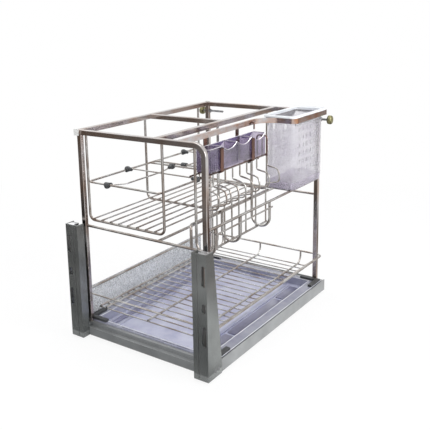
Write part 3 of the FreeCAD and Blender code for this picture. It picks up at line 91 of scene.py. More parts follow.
def linear(code: str) -> tuple[float, float, float, float]:
    """Turns an sRGB hex colour into linear light.

    Args:
        code: Colour such as "#8b8f8c".

    Returns:
        Red, green, blue and a full alpha.
    """
    parts = [int(code[start:start + 2], 16) / 255 for start in (1, 3, 5)]
    red, green, blue = [value / 12.92 if value <= 0.04045 else ((value + 0.055) / 1.055) ** 2.4
                        for value in parts]
    return (red, green, blue, 1.0)


# Node trees of the finishes


class Brush:
    """Paints one node tree."""

    def __init__(self, tree: bpy.types.NodeTree) -> None:
        """Starts with the tree empty."""
        self.tree = tree
        tree.nodes.clear()

    def add(self, kind: str, inputs: Optional[dict] = None, settings: Optional[dict] = None,
            stops: Stops = ()) -> bpy.types.Node:
        """Adds a node with its inputs and its settings.

        Args:
            kind: Blender's name of the node type, without the ShaderNode at its start.
            inputs: Value or output socket for each input, by name or number.
            settings: Properties of the node.
            stops: Place and hex colour of each stop, where the node has a ramp.

        Returns:
            The new node.
        """
        node = self.tree.nodes.new("ShaderNode" + kind)
        for name, value in (settings or {}).items():
            setattr(node, name, value)
        for name, value in (inputs or {}).items():
            if isinstance(value, Socket):
                self.tree.links.new(value, node.inputs[name])
            else:
                node.inputs[name].default_value = value
        if stops:
            elements = node.color_ramp.elements
            while len(elements) < len(stops):
                elements.new(0.5)
            for element, (place, colour) in zip(elements, stops):
                element.position = place
                element.color = linear(colour)
        return node

    def skin(self, grain: Socket, roughness: float, spread: tuple[float, float], strength: float,
             depth_mm: float = 0.2) -> dict:
        """Turns a fine grain into an uneven shine and a shallow relief.

        Args:
            grain: Pattern of the skin.
            roughness: Roughness between its hollows and its tips.
            spread: Shares of that roughness at the hollows and at the tips.
            strength: Strength of the relief.
            depth_mm: Its depth.

        Returns:
            The shader's inputs for roughness and normal.
        """
        rough = self.add("MapRange", {
            "Value": grain, "To Min": roughness * spread[0], "To Max": roughness * spread[1]})
        bump = self.add("Bump", {"Height": grain, "Strength": strength, "Distance": depth_mm * MM})
        return {"Roughness": rough.outputs["Result"], "Normal": bump.outputs["Normal"]}


def blank_material(name: str) -> tuple[Material, Brush]:
    """Makes a material with an empty node tree.

    Args:
        name: What the material is.

    Returns:
        The material and the brush for its tree.
    """
    material = bpy.data.materials.new(name)
    material.use_nodes = True
    return material, Brush(material.node_tree)


@dataclass(frozen=True)
class Coat:
    """What all finishes share."""

    name: str

    def paint(self, brush: Brush) -> dict:
        """Paints the patterns of the finish.

        Args:
            brush: Adds the nodes.

        Returns:
            The shader's inputs.
        """
        raise NotImplementedError

    def make(self) -> Material:
        """Builds the material.

        Returns:
            The new material.
        """
        material, brush = blank_material(self.name)
        shader = brush.add("BsdfPrincipled", self.paint(brush))
        brush.add("OutputMaterial", {"Surface": shader.outputs["BSDF"]})
        return material


@dataclass(frozen=True)
class BrightSteel(Coat):
    """Nickel and chrome plated mild steel, bright from the bath.

    The plate is a clean mirror; faint drifts of warm and cool grey and a slightly uneven roughness are
    what the eye takes for polished wire and tube.
    """

    cool: str
    warm: str
    roughness: float
    drift_mm: float
    grain_mm: float = 1.5  # coarser than the plate, so that it shows

    def paint(self, brush: Brush) -> dict:
        """Paints slow drifts of colour under a fine grain.

        Args:
            brush: Adds the nodes.

        Returns:
            The shader's inputs.
        """
        places = brush.add("TexCoord").outputs["Object"]
        drift = brush.add("TexNoise", {"Vector": places, "Scale": 1000 / self.drift_mm, "Detail": 3.0})
        ramp = brush.add("ValToRGB", {"Fac": drift.outputs["Fac"]},
                         stops=((0.38, self.cool), (0.66, self.warm)))
        grain = brush.add("TexNoise", {"Vector": places, "Scale": 1000 / self.grain_mm, "Detail": 2.0})
        return {"Base Color": ramp.outputs["Color"], "Metallic": 1.0,
                **brush.skin(grain.outputs["Fac"], self.roughness, (0.7, 1.4), 0.05)}


@dataclass(frozen=True)
class SheetSteel(Coat):
    """Folded sheet steel under a thin grey coat, or bright zinc plate.

    A fine brushed grain runs with the fold, clouds of it are rubbed brighter at random, and a band at
    the foot, where there is one, is lightened as a painted highlight.
    """

    colour: str
    edge: str
    metallic: float
    roughness: float
    grain_mm: float = 0.7  # coarser than the rolled sheet, so that it shows
    stretch: Point = (1.0, 0.05, 1.0)
    # Height of the band at the bottom that is lightened as a painted highlight; 0 for none
    highlight_foot_mm: float = 0.0
    foot_highlight: float = 2.2  # painted highlight on the foot: step from the colour to the edge's; over 1 is lighter than the edge
    cloud_mm: float = 1000 / 22

    def paint(self, brush: Brush) -> dict:
        """Paints the brushed grain, the rubbed clouds and the painted highlight on the foot.

        Args:
            brush: Adds the nodes.

        Returns:
            The shader's inputs.
        """
        places = brush.add("TexCoord").outputs["Object"]
        drawn = brush.add("Mapping", {"Vector": places, "Scale": self.stretch})
        grain = brush.add("TexNoise", {
            "Vector": drawn.outputs["Vector"], "Scale": 1000 / self.grain_mm, "Detail": 4.0})
        clouds = brush.add("TexNoise", {"Vector": places, "Scale": 1000 / self.cloud_mm, "Detail": 4.0})
        worn = brush.add("MapRange", {"Value": clouds.outputs["Fac"], "From Min": 0.3, "From Max": 0.8})
        # Painted highlight: below the foot's height the colour is pushed past the edge colour
        height = brush.add("SeparateXYZ", {"Vector": places})
        foot = brush.add("MapRange", {
            "Value": height.outputs["Z"], "From Min": (self.highlight_foot_mm - 0.6) * MM,
            "From Max": self.highlight_foot_mm * MM, "To Min": self.foot_highlight, "To Max": 0.0})
        light = brush.add("Math", {0: worn.outputs["Result"], 1: foot.outputs["Result"]},
                          {"operation": "ADD"})
        colour = brush.add("Mix", {
            "Factor": light.outputs["Value"], "A": linear(self.colour), "B": linear(self.edge)},
            {"data_type": "RGBA", "clamp_factor": False})
        return {"Base Color": colour.outputs["Result"], "Metallic": self.metallic,
                **brush.skin(grain.outputs["Fac"], self.roughness, (0.8, 1.2), 0.08)}


@dataclass(frozen=True)
class MouldedPlastic(Coat):
    """Injection moulded nylon or ABS with a fine eroded skin: soft sheen and tiny mottling."""

    colour: str
    light: str
    roughness: float
    skin_mm: float = 0.6  # coarser than an eroded mould, so that it shows
    mottle_mm: float = 1000 / 90
    index: float = 1.53

    def paint(self, brush: Brush) -> dict:
        """Paints the mottling and the eroded skin.

        Args:
            brush: Adds the nodes.

        Returns:
            The shader's inputs.
        """
        places = brush.add("TexCoord").outputs["Object"]
        skin = brush.add("TexNoise", {"Vector": places, "Scale": 1000 / self.skin_mm, "Detail": 3.0})
        mottle = brush.add("TexNoise", {"Vector": places, "Scale": 1000 / self.mottle_mm})
        colour = brush.add("Mix", {
            "Factor": mottle.outputs["Fac"], "A": linear(self.colour), "B": linear(self.light)},
            {"data_type": "RGBA"})
        return {"Base Color": colour.outputs["Result"], "IOR": self.index,
                **brush.skin(skin.outputs["Fac"], self.roughness, (0.85, 1.2), 0.15)}


@dataclass(frozen=True)
class ClearPlastic(Coat):
    """Injection moulded polystyrene, clear with a tint; flow lines and a milky depth keep it from glass."""

    tint: str
    shade: str
    clearness: float
    roughness: float
    milk_mm: float = 40.0
    skin_mm: float = 4.0
    index: float = 1.59

    def paint(self, brush: Brush) -> dict:
        """Paints the milky depth and the flow lines.

        Args:
            brush: Adds the nodes.

        Returns:
            The shader's inputs.
        """
        places = brush.add("TexCoord").outputs["Object"]
        milk = brush.add("TexNoise", {
            "Vector": places, "Scale": 1000 / self.milk_mm, "Detail": 4.0, "Roughness": 0.6})
        ramp = brush.add("ValToRGB", {"Fac": milk.outputs["Fac"]},
                         stops=((0.35, self.tint), (0.7, self.shade)))
        skin = brush.add("TexNoise", {"Vector": places, "Scale": 1000 / self.skin_mm, "Detail": 2.0})
        return {"Base Color": ramp.outputs["Color"], "Transmission Weight": self.clearness,
                "IOR": self.index,
                **brush.skin(skin.outputs["Fac"], self.roughness, (0.7, 1.5), 0.12, 0.4)}


@dataclass(frozen=True)
class TurnedBrass(Coat):
    """Brass bar turned on a lathe: fine rings and a dull gold that darkens in the rings."""

    bright: str
    dull: str
    ring_mm: float = 0.3 * math.pi  # coarser than a tool leaves them, so that they show

    def paint(self, brush: Brush) -> dict:
        """Paints the rings that the tool left.

        Args:
            brush: Adds the nodes.

        Returns:
            The shader's inputs.
        """
        places = brush.add("TexCoord").outputs["Object"]
        rings = brush.add("TexWave", {
            "Vector": places, "Scale": 100 * math.pi / self.ring_mm, "Distortion": 0.4},
            {"bands_direction": "X"}).outputs["Fac"]
        ramp = brush.add("ValToRGB", {"Fac": rings}, stops=((0.1, self.dull), (0.75, self.bright)))
        bump = brush.add("Bump", {"Height": rings, "Strength": 0.2, "Distance": 0.2 * MM})
        return {"Base Color": ramp.outputs["Color"], "Metallic": 1.0, "Roughness": 0.32,
                "Normal": bump.outputs["Normal"]}


class Finish(Enum):
    """The finishes of this rack."""

    # Plated steel: a mirror on the tubes, duller on thin wire, warmer on the strip and brown on the straps
    TUBE = BrightSteel("bright_steel_tube", "#c3c0c0", "#b09f94", 0.14, 70.0)
    WIRE = BrightSteel("bright_steel_wire", "#bebdbb", "#958981", 0.2, 35.0)
    STRIP = BrightSteel("bright_steel_strip", "#c4c1c2", "#b88d70", 0.16, 38.0)
    STRAP = BrightSteel("brown_plated_strap", "#7c5c50", "#54403a", 0.2, 30.0)
    BALL = BrightSteel("ground_bearing_steel", "#c6c7ca", "#b2b2b4", 0.08, 10.0)
    # Zinc on sheet: a soft grey sheen, with a painted highlight on the foot of the brackets and painted shade
    # in near black inside them
    BASE = SheetSteel("zinc_plated_channel", "#8f9192", "#a6a8a9", 0.55, 0.3)
    BRACKET = SheetSteel("zinc_plated_bracket", "#7a7d7c", "#939695", 0.74, 0.24, stretch=(1.0, 1.0, 0.05),
                         highlight_foot_mm=13.0)
    # Near black sheet set inside the brackets: painted shade, not a passivated coat
    PAINTED_SHADE_ZINC = SheetSteel("inner_wall_painted_shade", "#3b3d3c", "#4c4e4d", 0.6, 0.4,
                           stretch=(1.0, 1.0, 0.05))
    ZINC = SheetSteel("zinc_plated_runner", "#a9abad", "#c3c5c6", 1.0, 0.3)
    CAGE = SheetSteel("rolled_cage_strip", "#8c8c8e", "#a6a6a8", 1.0, 0.35)
    FASTENER = SheetSteel("zinc_plated_screw", "#9b9c9e", "#b5b6b8", 1.0, 0.28, 0.4, (1.0, 1.0, 1.0))
    # Brass: dull greenish gold
    BRASS = TurnedBrass("turned_brass", "#94906b", "#67634a")
    # Opaque plastic: matt, and dark but for the caps of the tubes; SHADOW paints the shadow in slots, gaps
    # and seams
    DARK = MouldedPlastic("dark_nylon_clip", "#2c2d2f", "#46484a", 0.42)
    CAP = MouldedPlastic("grey_polyethylene_cap", "#c9c9c7", "#dcdcda", 0.5)
    # Dark strips that paint the shadow in slots, gaps and seams; no rubber seal
    SHADOW = MouldedPlastic("painted_shadow_strip", "#2c2b2b", "#3a3938", 0.6)
    # Clear tray: blue-white, deeper in its sunk bands, which is partly painted shade, with a painted
    # highlight along its edges
    TRAY = ClearPlastic("clear_tray_styrene", "#dfe1f2", "#bfc1dc", 0.5, 0.12)
    # Darker bands: partly the deeper tint of thick styrene, partly painted shade for the dark bands that the
    # tray's steps refract
    DEEP_SHADE = ClearPlastic("thick_tray_styrene_painted_shade", "#b3b3cc", "#9c9cb9", 0.5, 0.12)
    # Near white strips along the tray's edges: painted highlight
    EDGE_HIGHLIGHT = ClearPlastic("tray_edge_painted_highlight_styrene", "#fbfcff", "#eceef6", 0.2, 0.08)
    # Side panel: the cast pebbles scatter what is behind it
    PANEL = ClearPlastic("pebbled_panel_styrene", "#e3e5e8", "#c3c6ca", 0.5, 0.25, 12.0, 3.0)
    # Knife box: violet that darkens where it is thick, with a painted highlight in near white along its
    # rolled edge
    VIOLET = ClearPlastic("violet_box_styrene", "#d0c8d8", "#a69cb2", 0.95, 0.04, 30.0, 5.0)
    RIB = ClearPlastic("thick_violet_styrene", "#8b7da6", "#6f6489", 0.6, 0.08, 30.0, 5.0)
    # Near white rolled rim and caps: painted highlight
    LIP_HIGHLIGHT = ClearPlastic("violet_edge_painted_highlight_styrene", "#f1edf6", "#d9d2e4", 0.7, 0.05, 30.0, 5.0)
    # Cutlery holder: frosted white. Walls and foot have an index of 1.3 in place of polypropylene's 1.49,
    # at which the front wall and the foot render darker than they are
    FROST = ClearPlastic("frosted_holder_polypropylene", "#f3f2f5", "#e4e2e8", 0.9, 0.2, 45.0, 2.0, 1.3)
    # Darker frosted finish: painted shade on the sloped sides of the pockets, and the foot band and floor
    # darker towards the bottom
    FOOT_AND_POCKET_SHADE = ClearPlastic("frosted_foot_and_pocket_shade_polypropylene", "#dfdbe4", "#cbc5d2", 0.8, 0.25, 45.0, 2.0, 1.3)
    RIM = ClearPlastic("frosted_rim_polypropylene", "#f3f5f8", "#e2e6ec", 0.12, 0.3, 45.0, 2.0, 1.49)


class Wardrobe:
    """Makes each finish once and hands it out."""

    def __init__(self) -> None:
        """Starts with no material made."""
        self.made: dict[Finish, Material] = {}

    def get(self, finish: Finish) -> Material:
        """Gives the material of a finish.

        Args:
            finish: What something is made of.

        Returns:
            Its material.
        """
        if finish not in self.made:
            self.made[finish] = finish.value.make()
        return self.made[finish]


# Objects and meshes


def put(name: str, data: bpy.types.ID) -> Object:
    """Puts an object in the scene.

    Args:
        name: Name of the object.
        data: Its mesh, lamp or camera.

    Returns:
        The new object.
    """
    thing = bpy.data.objects.new(name, data)
    bpy.context.scene.collection.objects.link(thing)
    return thing


def put_mesh(name: str, mesh: Mesh, *materials: Material) -> Object:
    """Puts a mesh in the scene.

    Args:
        name: Name of the object.
        mesh: Its mesh, which is freed.
        materials: What it is made of.

    Returns:
        The new object.
    """
    data = bpy.data.meshes.new(name)
    mesh.to_mesh(data)
    mesh.free()
    for material in materials:
        data.materials.append(material)
    return put(name, data)


def sides_of(direction: Vector) -> tuple[Vector, Vector]:
    """Finds the sides of an axis.

    Args:
        direction: The axis.

    Returns:
        Two unit vectors square to it and to each other.
    """
    helper = Vector((0, 0, 1)) if abs(direction.z) < 0.9 else Vector((1, 0, 0))
    first = direction.cross(helper).normalized()
    return first, direction.cross(first).normalized()


def add_rings(mesh: Mesh, rings: Sequence[Sequence[Vector]], looped: bool = False) -> None:
    """Skins a row of rings that have the same number of points.

    Args:
        mesh: Mesh that gets the skin.
        rings: Points of each ring.
        looped: Whether the last ring joins the first; otherwise both are filled.
    """
    rows = [[mesh.verts.new(point) for point in ring] for ring in rings]
    pairs = list(zip(rows, rows[1:] + rows[:1])) if looped else list(zip(rows, rows[1:]))
    for low, high in pairs:
        for index in range(len(low)):
            after = (index + 1) % len(low)
            mesh.faces.new((low[index], low[after], high[after], high[index]))
    if not looped:
        mesh.faces.new(list(reversed(rows[0])))
        mesh.faces.new(rows[-1])


def lathe(mesh: Mesh, start: Vector, direction: Vector, profile: Sequence[tuple[float, float]],
          steps: int, flute: float = 0.0, flutes: int = 0) -> None:
    """Turns a profile about an axis.

    Args:
        mesh: Mesh that gets the turned form.
        start: Point on the axis where the profile's distances begin.
        direction: The axis.
        profile: Millimetres along the axis and radius in millimetres.
        steps: Points round each ring.
        flute: Depth of grooves in the skin, in millimetres.
        flutes: Number of grooves round it.
    """
    first, second = sides_of(direction)
    rings = []
    for along, radius in profile:
        ring = []
        for index in range(steps):
            angle = 2 * math.pi * index / steps
            reach = radius - flute * (0.5 + 0.5 * math.cos(flutes * angle))
            ring.append(start + direction * along * MM
                        + (first * math.cos(angle) + second * math.sin(angle)) * reach * MM)
        rings.append(ring)
    add_rings(mesh, rings)


def bead(mesh: Mesh, place: Vector, sizes: Point) -> None:
    """Adds a small rounded weld bead.

    Args:
        mesh: Mesh that gets the bead.
        place: Its middle, in metres.
        sizes: Its half sizes in millimetres along the three axes.
    """
    matrix = Matrix.Translation(place) @ Matrix.Diagonal((*[value * MM for value in sizes], 1))
    bmesh.ops.create_icosphere(mesh, subdivisions=2, radius=1.0, matrix=matrix)


def shrink(box: Box, by: float) -> Box:
    """Returns a box seen from above (left, front, right, rear) with each side moved in."""
    return (box[0] + by, box[1] + by, box[2] - by, box[3] - by)


def rounded_loop(box: Box, radius: float, steps: int) -> list[tuple[float, float]]:
    """Points of a rectangle with round corners, seen from above.

    Args:
        box: Its left, front, right and rear.
        radius: Corner radius.
        steps: Points in each corner, less one.

    Returns:
        Pairs of across and along, counter-clockwise from the front left corner.
    """
    left, front, right, rear = shrink(box, radius)
    points = []
    for across, along, start in ((left, front, 180), (right, front, 270), (right, rear, 0), (left, rear, 90)):
        for index in range(steps + 1):
            angle = math.radians(start + 90 * index / steps)
            points.append((across + radius * math.cos(angle), along + radius * math.sin(angle)))
    return points


def block(mesh: Mesh, low: Point, high: Point, radius: float, steps: int = 3) -> None:
    """Adds a block with round upright corners and softened top and bottom edges.

    Args:
        mesh: Mesh that gets the block.
        low: Lowest corner in millimetres.
        high: Highest corner in millimetres.
        radius: Corner radius seen from above.
        steps: Points in each corner, less one.
    """
    soft = min(radius * 0.5, (high[2] - low[2]) * 0.3)
    rings = []
    for up, inset in ((low[2], soft), (low[2] + soft * 0.3, soft * 0.3), (low[2] + soft, 0.0),
                      (high[2] - soft, 0.0), (high[2] - soft * 0.3, soft * 0.3), (high[2], soft)):
        box = shrink((low[0], low[1], high[0], high[1]), inset)
        rings.append([at(across, along, up)
                      for across, along in rounded_loop(box, max(radius - inset, 0.05), steps)])
    add_rings(mesh, rings)


# Sub-assemblies


@dataclass
class Assembly:
    """What all sub-assemblies share."""

    wardrobe: Wardrobe

    def build(self) -> None:
        """Builds the pieces."""
        raise NotImplementedError

    def add(self, name: str, mesh: Mesh, finish: Finish, body: str, slot: str,
            smooth: float = 40.0) -> Object:
        """Turns a mesh into a piece that rides on a body.

        Args:
            name: Name of the piece.
            mesh: Its mesh, which is freed.
            finish: What it is made of.
            body: Body that it moves with.
            slot: Material slot of the record; not used.
            smooth: Edges flatter than this many degrees are shaded smooth.

        Returns:
            The new object.
        """
        mesh.normal_update()
        for face in mesh.faces:
            face.smooth = True
        for edge in mesh.edges:
            if len(edge.link_faces) == 2 and edge.calc_face_angle(0.0) > math.radians(smooth):
                edge.smooth = False
        thing = put_mesh(name, mesh, self.wardrobe.get(finish))
        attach(thing, body)
        log.info("piece %s: %d faces", name, len(thing.data.polygons))
        return thing


@dataclass
class Dressing(Assembly):
    """Finish of every fixed node that keeps its own shape."""

    finishes: dict[Finish, tuple[str, ...]] = field(default_factory=lambda: {
        Finish.TUBE: ("left_front_post", "left_rear_post", "left_top_rail", "middle_top_bar",
                      "inner_top_rail", "front_bent_tube", "rear_bent_tube"),
        Finish.STRIP: ("holder_strip",),
        Finish.STRAP: ("knife_box_cradle",),
        Finish.WIRE: ("bottle_basket_hoops", "bottle_basket_floor_wires", "bottle_basket_gallery",
                      "lower_cross_wires", "centre_depth_bar", "board_rack_frames", "board_rack_rails",
                      "board_divider_wires", "lower_basket_rim", "lower_basket_depth_wires",
                      "lower_basket_floor_wires", "lower_basket_right_wires",
                      "front_cross_divider", "rear_cross_divider", "front_depth_divider",
                      "rear_depth_divider"),
        Finish.BASE: ("left_base_channel", "right_base_channel", "front_base_channel",
                      "rear_base_channel"),
        Finish.BRACKET: ("left_door_bracket", "right_door_bracket"),
        Finish.ZINC: ("left_cabinet_runner", "right_cabinet_runner", "left_middle_runner",
                      "right_middle_runner", "left_drawer_runner", "right_drawer_runner"),
        Finish.CAGE: ("outer_ball_cages", "inner_ball_cages"),
        Finish.BALL: ("outer_bearing_balls", "inner_bearing_balls"),
        Finish.FASTENER: ("post_foot_plugs", "post_foot_screws", "bracket_screws", "buffer_nuts"),
        Finish.DARK: ("tray_corner_clips",),
        Finish.CAP: ("tube_end_caps",),
        Finish.TRAY: ("drip_tray",),
        Finish.VIOLET: ("knife_box",),
    })

    def build(self) -> None:
        """Gives each node its finish."""
        for finish, names in self.finishes.items():
            for name in names:
                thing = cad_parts[name]
                thing.data.materials.clear()
                thing.data.materials.append(self.wardrobe.get(finish))
                log.info("dressed %s as %s", name, finish.value.name)


@dataclass
class CutleryHolder(Assembly):
    """Deep frosted box that hangs by its rim in the ring, with a lattice pressed into its walls."""

    walls: Box = (254.0, 303.5, 317.0, 434.0)
    floor: float = 261.0
    top: float = 408.3
    wall: float = 1.8
    corner: float = 8.0
    window: float = 6.0
    window_tall: float = 7.8
    pitch: float = 16.5
    end_gap: float = 4.0
    first_row: float = 296.0
    rows: int = 6
    press: float = 0.7
    press_slope: float = 0.14
    taper: float = 1.5
    foot: float = 16.0
    oval: tuple[float, float] = (7.0, 12.0)
    oval_share: float = 0.3
    oval_drop: float = 18.0
    oval_steps: int = 24
    rim: Box = (250.0, 297.0, 322.5, 449.5)
    rim_thick: float = 3.7
    rim_soft: float = 1.0
    rim_corner: float = 9.0
    mouth_corner: float = 6.5
    rim_drop: float = 2.0
    rib_first: float = 14.0
    rib_counts: tuple[int, int] = (3, 7)
    rib_pitch: tuple[float, float] = (17.5, 17.0)
    rib_half: tuple[float, float] = (2.0, 6.0)
    rib_height: float = 2.4
    rib_corner: float = 1.8

    def stations(self) -> list[tuple[float, float, bool]]:
        """Places round the wall, with the windows on its straight runs.

        Returns:
            Across, along and whether a window follows, counter-clockwise from the front left corner.
        """
        loop = rounded_loop(self.walls, self.corner, 5)
        stations = []
        for (across, along), after in zip(loop, loop[1:] + loop[:1]):
            run = Vector((after[0] - across, after[1] - along))
            stations.append((across, along, False))
            if run.length < 4 * self.corner:
                continue
            windows = int((run.length - self.end_gap) // self.pitch)
            margin = (run.length - windows * self.pitch) / 2
            step = run.normalized()
            for window in range(windows):
                start = margin + window * self.pitch + (self.pitch - self.window) / 2
                for reach, opens in ((start, True), (start + self.window, False)):
                    stations.append((across + step.x * reach, along + step.y * reach, opens))
        return stations

    def heights(self) -> list[tuple[float, bool]]:
        """Heights of the wall's rows.

        Returns:
            Each height and whether a window follows it, from the foot up.
        """
        heights = [(self.floor + 1.0, False), (self.floor + self.foot, False)]
        for row in range(self.rows):
            low = self.first_row + row * self.pitch
            heights += [(low, True), (low + self.window_tall, False)]
        return heights + [(self.top, False)]

    def add_walls(self, mesh: Mesh) -> None:
        """Adds the wall with its pressed windows and the floor under it.

        Args:
            mesh: Mesh that gets the wall.
        """
        left, front, right, rear = self.walls
        middle = at((left + right) / 2, (front + rear) / 2, 0.0)
        stations = self.stations()
        heights = self.heights()
        rows = []
        for level, (up, _) in enumerate(heights):
            taper = 0.0 if level else self.taper * MM
            row = []
            for across, along, _ in stations:
                place = at(across, along, up)
                toward = place - middle
                place -= Vector((math.copysign(taper, toward.x), math.copysign(taper, toward.y), 0.0))
                row.append(mesh.verts.new(place))
            rows.append(row)
        for level, (low, high) in enumerate(zip(rows, rows[1:])):
            for index, (_, _, opens) in enumerate(stations):
                after = (index + 1) % len(stations)
                corners = (low[index], low[after], high[after], high[index])
                if heights[level][1] and opens:
                    self.add_pressed(mesh, corners)
                else:
                    # The foot band takes the darker second finish: darker towards the bottom
                    mesh.faces.new(corners).material_index = 0 if level else 1
        mesh.faces.new(list(reversed(rows[0]))).material_index = 1

    def add_pressed(self, mesh: Mesh, corners: Sequence[bmesh.types.BMVert]) -> None:
        """Adds one window of the lattice as a shallow pocket with sloped sides, darker as painted shade.

        Args:
            mesh: Mesh that gets the pocket.
            corners: Its corners in the wall, counter-clockwise from outside.
        """
        middle = sum((corner.co for corner in corners), Vector()) / 4
        inward = (corners[3].co - corners[0].co).cross(corners[1].co - corners[0].co).normalized()
        floor = [mesh.verts.new(corner.co.lerp(middle, self.press_slope) + inward * self.press * MM)
                 for corner in corners]
        mesh.faces.new(floor)
        for index in range(4):
            after = (index + 1) % 4
            side = mesh.faces.new((corners[index], corners[after], floor[after], floor[index]))
            # The sloped sides take the darker second finish: painted shade in the pocket
            side.material_index = 1

    def cut_ovals(self, walls: Object) -> None:
        """Cuts the two upright ovals through the top of the front wall.

        Args:
            walls: The box, whose wall gets its thickness here too.
        """
        left, front, right, _ = self.walls
        width, tall = self.oval
        mesh = bmesh.new()
        for share in (self.oval_share, 1 - self.oval_share):
            rings = []
            for along in (front - 3.0, front + 3.0):
                ring = []
                for index in range(self.oval_steps):
                    angle = 2 * math.pi * index / self.oval_steps
                    lift = math.copysign((tall - width) / 2, math.sin(angle))
                    ring.append(at(left + share * (right - left) + width / 2 * math.cos(angle), along,
                                   self.top - self.oval_drop + width / 2 * math.sin(angle) + lift))
                rings.append(ring)
            add_rings(mesh, rings)
        bmesh.ops.recalc_face_normals(mesh, faces=mesh.faces)
        cutters = put_mesh("oval_cutters", mesh)
        cut = walls.modifiers.new("ovals", "BOOLEAN")
        cut.object = cutters
        cut.operation = "DIFFERENCE"
        cut.solver = "EXACT"
        bpy.context.view_layer.update()
        ready = walls.evaluated_get(bpy.context.evaluated_depsgraph_get())
        cut_mesh = bpy.data.meshes.new_from_object(ready)
        walls.modifiers.clear()
        walls.data = cut_mesh
        bpy.data.objects.remove(cutters)

    def build(self) -> None:
        """Builds the box, its rim and the ribs of its floor."""
        mesh = bmesh.new()
        self.add_walls(mesh)
        walls = self.add("holder_walls", mesh, Finish.FROST, "cutlery_holder", "frosted_plastic")
        thick = walls.modifiers.new("wall", "SOLIDIFY")
        thick.thickness = self.wall * MM
        thick.offset = -1.0
        walls.data.materials.append(self.wardrobe.get(Finish.FOOT_AND_POCKET_SHADE))
        self.cut_ovals(walls)
        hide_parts("cutlery_holder")
        mesh = bmesh.new()
        soft = self.rim_soft
        inner = shrink(self.walls, self.wall)
        high = self.top + self.rim_thick
        wide, narrow = self.rim_corner, self.mouth_corner
        rings = ((inner, narrow, self.top - self.rim_drop), (self.rim, wide, self.top),
                 (self.rim, wide, high - soft), (shrink(self.rim, soft), wide - soft / 2, high),
                 (shrink(inner, -soft), narrow + soft / 2, high), (inner, narrow, high - soft))
        add_rings(mesh, [[at(across, along, up) for across, along in rounded_loop(box, radius, 6)]
                         for box, radius, up in rings], looped=True)
        self.add("holder_rim", mesh, Finish.RIM, "cutlery_holder", "frosted_plastic")
        mesh = bmesh.new()
        for row in range(self.rib_counts[0]):
            for column in range(self.rib_counts[1]):
                across = self.walls[0] + self.rib_first + row * self.rib_pitch[0]
                along = self.walls[1] + self.rib_first + column * self.rib_pitch[1]
                block(mesh, (across - self.rib_half[0], along - self.rib_half[1], self.floor - SINK),
                      (across + self.rib_half[0], along + self.rib_half[1],
                       self.floor + self.rib_height), self.rib_corner)
        self.add("holder_floor_ribs", mesh, Finish.FROST, "cutlery_holder", "frosted_plastic")


@dataclass
class SidePanel(Assembly):
    """Clear panel with a cast pebble pattern on its outer face."""

    side: float = 4.2
    thick: float = 1.0
    front: float = 26.0
    rear: float = 424.0
    foot: float = 22.0
    top: float = 84.0
    pebble: float = 3.5
    pebble_slope: float = 1.6
    relief: float = 0.28
    step: float = 1.3

    def build(self) -> None:
        """Builds the panel with its relief as mesh."""
        columns = int((self.rear - self.front) / self.step)
        rows = int((self.top - self.foot) / self.step)
        rings = []
        for row in range(rows + 1):
            up = self.foot + (self.top - self.foot) * row / rows
            outer, inner = [], []
            for column in range(columns + 1):
                along = self.front + (self.rear - self.front) * column / columns
                distances, _ = noise.voronoi(Vector((along, up, 0.0)) / self.pebble)
                lift = self.relief * (1 - min(1.0, distances[0] * self.pebble_slope) * 2)
                outer.append(at(self.side + self.relief - lift, along, up))
                inner.append(at(self.side + self.thick, along, up))
            rings.append(outer[::-1] + inner)
        mesh = bmesh.new()
        add_rings(mesh, rings)
        piece = self.add("pebbled_side_panel", mesh, Finish.PANEL, "drawer", "clear_panel_plastic", 60.0)
        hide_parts("left_side_panel")


